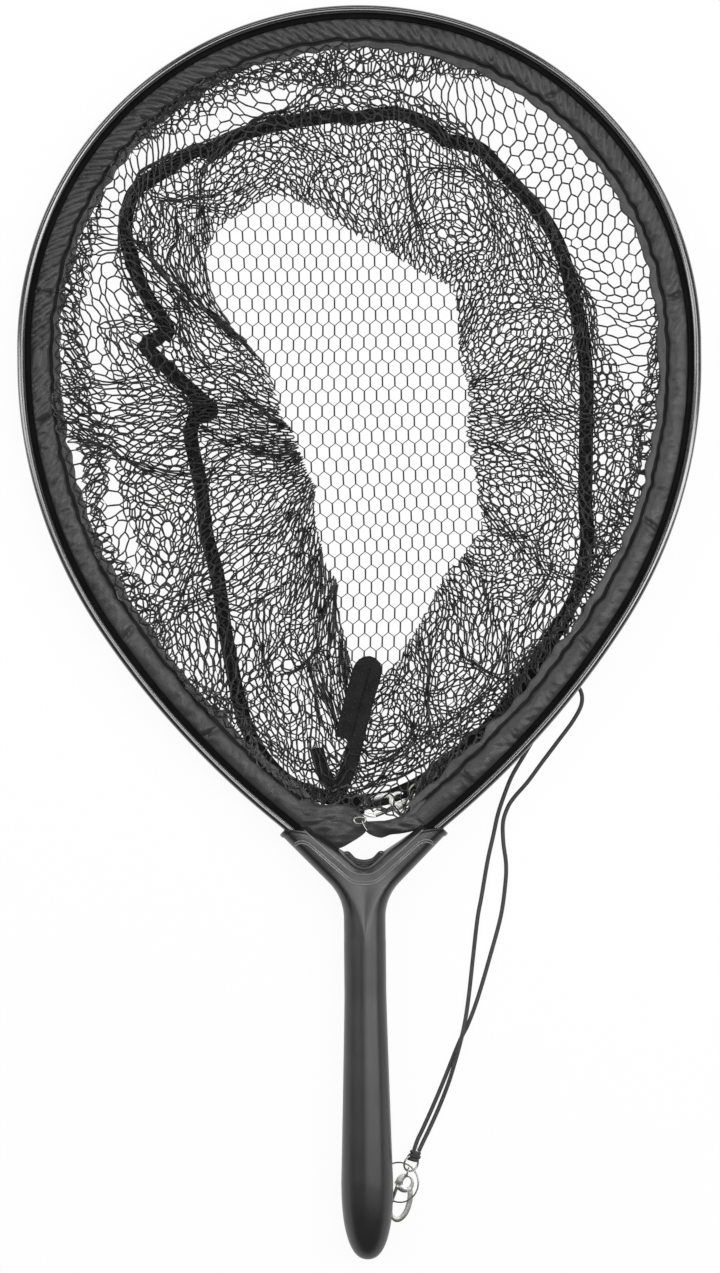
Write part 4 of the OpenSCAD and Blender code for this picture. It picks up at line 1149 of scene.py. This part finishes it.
# %% [markdown]
# ## Handle
# Two moulded shells meet on the mid-plane: a round grip that swells to the butt, and a yoke with two
# arms that take the ends of the hoop. One half of a shell is a grid of rows: each row crosses the handle
# from its spine or its inner edge to its outer edge, with rounded flanks and a nearly flat top. The rows
# climb the grip, turn out along the fillet and end at the mouth of the arm, and a Mirror modifier makes
# the other arm. The rear shell is made the same way without the dip in the crotch, turned over, and drilled
# for its screws with a Boolean. A lathe could make the grip alone, but it would leave a seam at the yoke.

# %% Handle rows
# Sizes of the handle in mm and degrees
NECK_R = 12.6
GRIP_R = 15.6
WIDEST_Y = -330
BUTT_DEEP = 46
BUTT_POWER = 2.4
GRIP_POWER = 1.1
NECK_LOW = -217.1
GRIP_TOP = -186
FILLET_C = np.array([42.5, -171.112])
FILLET_R = 30
CROTCH_C = np.array([0, -124.915])
CROTCH_R = 12
OUTER_DEG = 44.5
INNER_DEG = 56
SOCKET_OUTER = np.array([50.108, -120.569])
SOCKET_INNER = np.array([34.8285, -115.898])
YOKE_HALF_D = 9.6
OUTER_FLANK = 5.4
INNER_FLANK = 3.4
FLANK_SOON = 1.3
ARM_LEAD = 7.0
FRONT_DIP = 3.2
DIP_HALF_W = 10
TOP_CROWN = 0.2
CROWN_SPAN = 12
COLLAR_LONG = 3.2
COLLAR_PROUD = 0.6
BUTT_ROWS = 16
GRIP_ROWS = 40
YOKE_ROWS = 22
ARM_ROWS = 24
COLLAR_CLEAR = 0.01
FLANK_STEPS = 9
TOP_STEPS = 5


def grip_radius(y):
    if y < WIDEST_Y:
        share = min((WIDEST_Y - y) / BUTT_DEEP, 1)
        return GRIP_R * (1 - share ** BUTT_POWER) ** (1 / BUTT_POWER)
    if y < NECK_LOW:
        return NECK_R + (GRIP_R - NECK_R) * ((NECK_LOW - y) / (NECK_LOW - WIDEST_Y)) ** GRIP_POWER
    return NECK_R


def outer_edge(run):
    """Outer edge of the yoke from GRIP_TOP up: a straight side, the fillet, then the arm."""
    start = np.array([FILLET_C[0] - FILLET_R, GRIP_TOP])
    straight = FILLET_C[1] - GRIP_TOP
    turn = math.radians(OUTER_DEG)
    if run < straight:
        return start + (0, run), np.array([-1.0, 0])
    if run < straight + FILLET_R * turn:
        way = way_at(math.pi - (run - straight) / FILLET_R)
        return FILLET_C + FILLET_R * way, way
    way = np.array([-math.cos(turn), math.sin(turn)])
    ahead = np.array([math.sin(turn), math.cos(turn)])
    return FILLET_C + FILLET_R * way + ahead * (run - straight - FILLET_R * turn), way


def inner_edge(share, dip):
    """Inner edge of the arm, from the bottom of the crotch, sunk by dip, to the mouth of the socket."""
    turn = math.radians(90 - INNER_DEG)
    arc = CROTCH_R * turn
    corner = CROTCH_C + CROTCH_R * np.array([math.sin(turn), -math.cos(turn)])
    straight = np.linalg.norm(SOCKET_INNER - corner)
    run = share * (arc + straight)
    if run < arc:
        way = np.array([math.sin(run / CROTCH_R), -math.cos(run / CROTCH_R)])
        place = CROTCH_C + CROTCH_R * way
    else:
        way = np.array([math.sin(turn), -math.cos(turn)])
        place = corner + (SOCKET_INNER - corner) * (run - arc) / straight
    return place - (0, dip * math.exp(-(place[0] / DIP_HALF_W) ** 2)), way


lead_run = FILLET_C[1] - GRIP_TOP + FILLET_R * math.radians(OUTER_DEG)
arm_run = np.linalg.norm(SOCKET_OUTER - outer_edge(lead_run)[0])
# Each row: the zone it is in, its place there, and its radius on the grip or its rise on the arm
rows_of_handle = []
for i in range(BUTT_ROWS):
    angle = math.pi / 2 * (1 - i / BUTT_ROWS)
    y = WIDEST_Y - BUTT_DEEP * math.sin(angle) ** (2 / BUTT_POWER)
    rows_of_handle.append(("grip", y, grip_radius(y)))
for y in np.linspace(WIDEST_Y, GRIP_TOP, GRIP_ROWS):
    rows_of_handle.append(("grip", y, grip_radius(y)))
for share in np.linspace(0, 1, YOKE_ROWS)[1:]:
    rows_of_handle.append(("yoke", share, 0))
collar_share = 1 - COLLAR_LONG / arm_run
for share in np.linspace(0, 1, ARM_ROWS)[:-1]:
    if share < collar_share - COLLAR_CLEAR:
        rows_of_handle.append(("arm", share, 0))
# The collar at the mouth of the arm: place along the arm, share of its full rise
collar = [(collar_share - 0.002, 0), (collar_share, 0.8), (collar_share + 0.012, 1), (0.99, 1), (1.0, 0.4)]
rows_of_handle += [("arm", share, COLLAR_PROUD * rise) for share, rise in collar]


def ease(share):
    return share * share * (3 - 2 * share)


def handle_row(kind, where, value, dip):
    """One row of (x, y, height) points, from the spine or the inner edge to the outer edge."""
    crotch_top_y = CROTCH_C[1] - CROTCH_R - INNER_FLANK - dip
    flank = [math.pi / 2 * k / FLANK_STEPS for k in range(FLANK_STEPS + 1)]
    if kind == "grip":
        outer, way, wide, tall = np.array([value, where]), np.array([-1.0, 0]), value, value
        top = np.array([0, where])
        inner_points = [(0, where, tall)] * (FLANK_STEPS + 1)
    elif kind == "yoke":
        outer, way = outer_edge(where * (lead_run + ARM_LEAD))
        top = np.array([0, GRIP_TOP + where * (crotch_top_y - GRIP_TOP)])
        tall = NECK_R + (YOKE_HALF_D - NECK_R) * ease(where)
        wide = NECK_R + (OUTER_FLANK - NECK_R) * ease(min(where * FLANK_SOON, 1))
        inner_points = [(*top, tall)] * (FLANK_STEPS + 1)
    else:
        outer, way = outer_edge(lead_run + ARM_LEAD + where * (arm_run - ARM_LEAD))
        inner, inner_way = inner_edge(where, dip)
        outer = outer - way * value
        inner = inner - inner_way * value
        tall = YOKE_HALF_D + value
        wide = OUTER_FLANK
        inner_points = [(*(inner + inner_way * INNER_FLANK * (1 - math.cos(a))), tall * math.sin(a))
                        for a in flank]
        top = inner + inner_way * INNER_FLANK
    outer_top = outer + way * wide
    across = [top + (outer_top - top) * k / TOP_STEPS for k in range(1, TOP_STEPS)]
    outer_points = [(*(outer + way * wide * (1 - math.cos(a))), tall * math.sin(a)) for a in reversed(flank)]
    swell = TOP_CROWN * min(np.linalg.norm(outer_top - top) / CROWN_SPAN, 1)
    crown = [tall + swell * math.sin(math.pi * k / TOP_STEPS) for k in range(1, TOP_STEPS)]
    return inner_points + [(*p, z) for p, z in zip(across, crown)] + outer_points


print("handle:", len(rows_of_handle), "rows")

# %% Handle shells
SEAM_HALF = 0.06 * MM
MIRROR_WELD = 0.02 * MM
RECESS_R = 2.9 * MM
RECESS_TOP = MID_Z - 6.6 * MM
DRILL_LONG = 30 * MM
SCREW_PLACES = [(30.866, -128.752), (-30.866, -128.752), (0, -203.1), (0, -270.55), (0, -338)]


def half_handle(name, dip):
    """A shell above the mid-plane, from a grid, a mirror and a flat face on the seam."""
    handle_grid = np.array([handle_row(*row, dip) for row in rows_of_handle]) * MM
    handle_grid += (0, 0, MID_Z + SEAM_HALF)
    row_count, point_count = handle_grid.shape[:2]
    piece = primitive(name, bpy.ops.mesh.primitive_grid_add, x_subdivisions=point_count - 1,
                      y_subdivisions=row_count - 1, size=1)
    places = vertex_array(piece)
    column = np.rint((places[:, 0] + 0.5) * (point_count - 1)).astype(int)
    row = np.rint((places[:, 1] + 0.5) * (row_count - 1)).astype(int)
    set_vertices(piece, handle_grid[row, column])
    edit_mode(piece)
    bpy.ops.mesh.remove_doubles(threshold=FINE_WELD)
    bpy.ops.mesh.dissolve_degenerate(threshold=FINE_WELD)
    object_mode()
    mesh = bmesh.new()
    mesh.from_mesh(piece.data)
    mouth = [v for v in mesh.verts if any(np.allclose(v.co, p, atol=WELD) for p in handle_grid[-1])]
    mouth_edges = [e for e in mesh.edges if e.verts[0] in mouth and e.verts[1] in mouth and e.is_boundary]
    bmesh.ops.contextual_create(mesh, geom=mouth_edges)
    mesh.to_mesh(piece.data)
    mesh.free()
    apply_modifier(piece, "MIRROR", use_axis=(True, False, False), merge_threshold=MIRROR_WELD)
    edit_mode(piece)
    bpy.ops.mesh.select_all(action="DESELECT")
    bpy.ops.mesh.select_non_manifold(extend=False, use_wire=False, use_multi_face=False)
    bpy.ops.mesh.edge_face_add()
    bpy.ops.mesh.select_all(action="SELECT")
    bpy.ops.mesh.normals_make_consistent(inside=False)
    object_mode()
    return piece


front_shell = half_handle("handle_front_shell", FRONT_DIP)
rear_shell = half_handle("handle_rear_shell", 0)
places = vertex_array(rear_shell)
depth = places[:, 2] - MID_Z - SEAM_HALF
places[:, 2] = MID_Z - SEAM_HALF - depth * (1 - SEAM_HALF / (GRIP_R * MM))
set_vertices(rear_shell, places)
merge_and_face_out(rear_shell)
for x, y in SCREW_PLACES:
    drill = primitive("drill", bpy.ops.mesh.primitive_cylinder_add, vertices=32, radius=RECESS_R,
                      depth=DRILL_LONG)
    set_vertices(drill, vertex_array(drill) + (x * MM, y * MM, RECESS_TOP - DRILL_LONG / 2))
    apply_modifier(rear_shell, "BOOLEAN", operation="DIFFERENCE", object=drill, solver="EXACT")
    bpy.data.objects.remove(drill)
for part, node in ((front_shell, "handle_front"), (rear_shell, "handle_rear")):
    smooth(part, 38)
    dress(part, moulded_charcoal, stands_for=[node])
    print(part.name, len(part.data.polygons), "faces")

# %% Ridges of the yoke
RIDGE_LINE = [(0, -149.3), (5, -148.7), (8.8, -147.0), (15.8, -141.0), (30.3, -128.0), (34.5, -124.9),
              (38.3, -124.3), (41.3, -125.8)]
FACET_LINE = [(0, -145.0), (4, -144.4), (8.8, -142.0), (14, -137.6), (24, -128.8), (32.5, -121.0),
              (35.2, -118.6)]
RIDGE_GAP = 1.5
RIDGE_R = 0.5 * MM
LIP_LINE = [(343.7, 852.5), (349, 852), (355.8, 858.3), (364.5, 860.3), (373.2, 858.3), (380, 852),
            (385.3, 852.5)]
# Ribs of the rear shell's lip in mm: down the picture, above the mid-plane, radius
LIP_RIBS = [(0.1, -0.5, 0.55), (1.25, -0.2, 0.5), (2.4, 0.0, 0.5)]


def on_front(x, y):
    """Point on the front shell above a place."""
    hit, place, _, _ = front_shell.ray_cast(Vector((x, y, 1)), Vector((0, 0, -1)))
    return place if hit else Vector((x, y, MID_Z))


# The ridges take the pale finish of a painted highlight.
for number, (ridge_line, drop) in enumerate(((RIDGE_LINE, 0), (RIDGE_LINE, RIDGE_GAP), (FACET_LINE, 0))):
    right = rounded_line([(x, y - drop) for x, y in ridge_line], 6) * MM
    whole = np.concatenate([(right * (-1, 1))[:0:-1], right])
    ridge = tube("yoke_ridge_" + str(number + 1), [on_front(*p) for p in whole], RIDGE_R, 8)
    dress(ridge, ridge_painted_highlight)
lip = rounded_line([(*from_photo(px, py), 0) for px, py in LIP_LINE], 6)
for number, (drop, above, radius) in enumerate(LIP_RIBS):
    rib = tube("crotch_rib_" + str(number + 1), lip + (0, -drop * MM, MID_Z + above * MM), radius * MM, 8)
    dress(rib, moulded_charcoal)
print("yoke: 3 ridges, 3 ribs")

# %% [markdown]
# ## Bright hardware
# Clasps and gates are copies of their solids whose edges a Bevel modifier softens, since bare solid edges
# catch no light. The split ring is wound anew as two turns of wire, and the knots are wraps of the cord
# itself. The small rings, pins, springs and screws, the wire in the hem and the tab at the neck keep their
# solids and only take a finish.

# %% Clasps and gates
SOFT_EDGE = 0.22 * MM
SHARP_ANGLE = math.radians(50)
for node, body in (("upper_clasp", "net"), ("upper_gate", "upper_gate"), ("lower_clasp", "lower_clasp"),
                   ("lower_gate", "lower_gate")):
    piece = bpy.data.objects.new(node + "_soft", nodes[node].data.copy())
    scene.collection.objects.link(piece)
    merge_and_face_out(piece, FINE_WELD)
    apply_modifier(piece, "BEVEL", width=SOFT_EDGE, segments=2, limit_method="ANGLE",
                   angle_limit=SHARP_ANGLE)
    smooth(piece, 35)
    dress(piece, nickel, body=body, stands_for=[node])
print("clasps and gates: 4")

# %% Split ring
SPLIT_WIRE = 1.4 * MM
SPLIT_TILT = math.radians(20)
WINDING_STEPS = 128
WOUND_SHARE = 0.97
WINDING_RISE = 0.42
WINDING_R = 0.34
split_low, split_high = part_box("split_ring")
split_middle = (split_low + split_high) / 2
split_r = (split_high.y - split_low.y) / 2 - SPLIT_WIRE / 2
split_turn = Matrix.Rotation(-SPLIT_TILT, 4, "Y")
winding = []
for i in range(WINDING_STEPS + 1):
    turn = 4 * math.pi * WOUND_SHARE * i / WINDING_STEPS
    rise = SPLIT_WIRE * WINDING_RISE * (i / WINDING_STEPS - 0.5)
    place = Vector((split_r * math.cos(turn), split_r * math.sin(turn), rise))
    winding.append(split_middle + split_turn @ place)
split = tube("split_ring_winding", winding, SPLIT_WIRE * WINDING_R, 10)
dress(split, nickel, body="split_ring", stands_for=["split_ring"])
print("split ring: two turns, radius", round(split_r / MM, 2), "mm")

# %% Knots
WRAP_STEPS = 64
WRAP_TURNS = 2.4
WRAP_LONG = 0.8
WRAP_WIDE = 0.38
WRAP_HIGH = 0.34
BAND_STEPS = 24
BAND_TURNS = 0.9
BAND_PHASE = 0.9
BAND_REACH = 0.27
BAND_WIDE = 0.42
BAND_HIGH = 0.36
WRAP_CORD = CORD_DIAMETER * 0.46


def knot(name, node, turn_deg):
    """Wraps of cord along the knot, and a band that runs back over them, in shares of the knot's size."""
    low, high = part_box(node)
    size = (high - low).length / math.sqrt(3)
    wraps = []
    for i in range(WRAP_STEPS + 1):
        turn = 2 * math.pi * WRAP_TURNS * i / WRAP_STEPS
        slide = (i / WRAP_STEPS - 0.5) * size * WRAP_LONG
        wraps.append((slide, size * WRAP_WIDE * math.cos(turn), size * WRAP_HIGH * math.sin(turn)))
    for i in range(1, BAND_STEPS + 1):
        turn = 2 * math.pi * BAND_TURNS * i / BAND_STEPS + BAND_PHASE
        slide = size * (BAND_REACH - 2 * BAND_REACH * i / BAND_STEPS)
        wraps.append((slide, size * BAND_WIDE * math.cos(turn), size * BAND_HIGH * math.sin(turn)))
    spin = Matrix.Rotation(math.radians(turn_deg), 3, "Z")
    piece = tube(name, [(low + high) / 2 + spin @ Vector(p) for p in wraps], WRAP_CORD, 8)
    dress(piece, cord_braid, stands_for=[node])


knot("lower_knot_wraps", "lower_knot", 65)
knot("upper_knot_wraps", "upper_knot", 45)
CARRIED_OVER = {
    nickel: ["upper_ring", "lower_ring", "neck_ring", "upper_gate_pin", "lower_gate_pin",
             "upper_gate_spring", "lower_gate_spring", "hem_wire"],
    screw_steel: ["handle_screws"],
    woven_tape: ["neck_tab"]}
for material, carried in CARRIED_OVER.items():
    for node in carried:
        nodes[node].data.materials.clear()
        nodes[node].data.materials.append(material)
print("knots: 2, carried over:", sum(len(carried) for carried in CARRIED_OVER.values()), "solids")

# %% [markdown]
# ## Floor and light
# The table is white, with a low round backdrop far around it. To the camera and in reflections both glow
# with a strength of almost 1, and a thin share of a lit white surface keeps the shadow of the net. Two
# long soft boxes at the sides draw the bright lines on the rim and the grip, three at the far end light
# the crown, and a wide one above opens the dark cloth. The sky is plain and dim.

# %% Floor
FLOOR_SIZE = 30
FLOOR_Z = -0.1 * MM
FLOOR_COLOUR = (0.92, 0.92, 0.92, 1)
FLOOR_LIT_SHARE = 0.06
BACKDROP_RADIUS = 14
BACKDROP_HEIGHT = 2.2


def mix_shaders(tree, factor, first, second):
    mix = tree.nodes.new("ShaderNodeMixShader")
    for value, socket in zip((factor, first, second), mix.inputs):
        plug(tree, value, socket)
    return mix.outputs[0]


floor_white = bpy.data.materials.new("floor_white")
floor_white.use_nodes = True
tree = floor_white.node_tree
tree.nodes.clear()
rays = tree.nodes.new("ShaderNodeLightPath").outputs
seen = math_node(tree, "MAXIMUM", rays["Is Camera Ray"], rays["Is Glossy Ray"])
seen = math_node(tree, "MAXIMUM", seen, rays["Is Transmission Ray"])
lit = new_node(tree, "BsdfDiffuse", Color=FLOOR_COLOUR).outputs[0]
glow = new_node(tree, "Emission", Strength=1.0).outputs[0]
pale = mix_shaders(tree, 1 - FLOOR_LIT_SHARE, lit, glow)
new_node(tree, "OutputMaterial", Surface=mix_shaders(tree, seen, lit, pale))
floor = primitive("floor", bpy.ops.mesh.primitive_plane_add, size=FLOOR_SIZE)
floor.location.z = FLOOR_Z
backdrop = primitive("backdrop", bpy.ops.mesh.primitive_cylinder_add, vertices=96, radius=BACKDROP_RADIUS,
                     depth=BACKDROP_HEIGHT, end_fill_type="NOTHING")
backdrop.location.z = BACKDROP_HEIGHT / 2
for piece in (floor, backdrop):
    piece.data.materials.append(floor_white)
    piece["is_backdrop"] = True
print("floor:", FLOOR_SIZE, "m, backdrop:", BACKDROP_HEIGHT, "m high")

# %% Light
SKY_STRENGTH = 0.11
# Soft boxes: name, place, width and length, power, and the place on the table that they face
SOFT_BOXES = [("right_box", (1.05, -0.1, 1.4), (0.4, 2.0), 13.5, (0, 0, 0)),
              ("left_box", (-1.45, 0.1, 1.25), (0.4, 2.0), 11, (0, 0, 0)),
              ("far_box", (0, 1.6, 1.3), (1.2, 0.4), 5.5, (0, 0, 0)),
              ("upper_box", (0.26, 0.15, 1.8), (0.7, 1.3), 9, (0, 0, 0)),
              ("far_right_box", (1.15, 1.15, 1.3), (0.9, 0.3), 7, (0.1, 0.15, 0)),
              ("far_left_box", (-1.15, 1.15, 1.3), (0.9, 0.3), 6, (-0.1, 0.15, 0))]
for name, place, size, power, target in SOFT_BOXES:
    light = bpy.data.lights.new(name, "AREA")
    light.shape = "RECTANGLE"
    light.size, light.size_y = size
    light.energy = power
    lamp = bpy.data.objects.new(name, light)
    lamp.location = place
    lamp.rotation_euler = (Vector(target) - Vector(place)).to_track_quat("-Z", "Y").to_euler()
    lamp.visible_camera = False
    scene.collection.objects.link(lamp)
world = bpy.data.worlds.new("studio")
world.use_nodes = True
sky = world.node_tree.nodes["Background"]
sky.inputs["Color"].default_value = (1, 1, 1, 1)
sky.inputs["Strength"].default_value = SKY_STRENGTH
scene.world = world
scene.view_settings.view_transform = "Standard"
print("light:", len(SOFT_BOXES), "soft boxes")

# %% Sizes and finish
low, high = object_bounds()
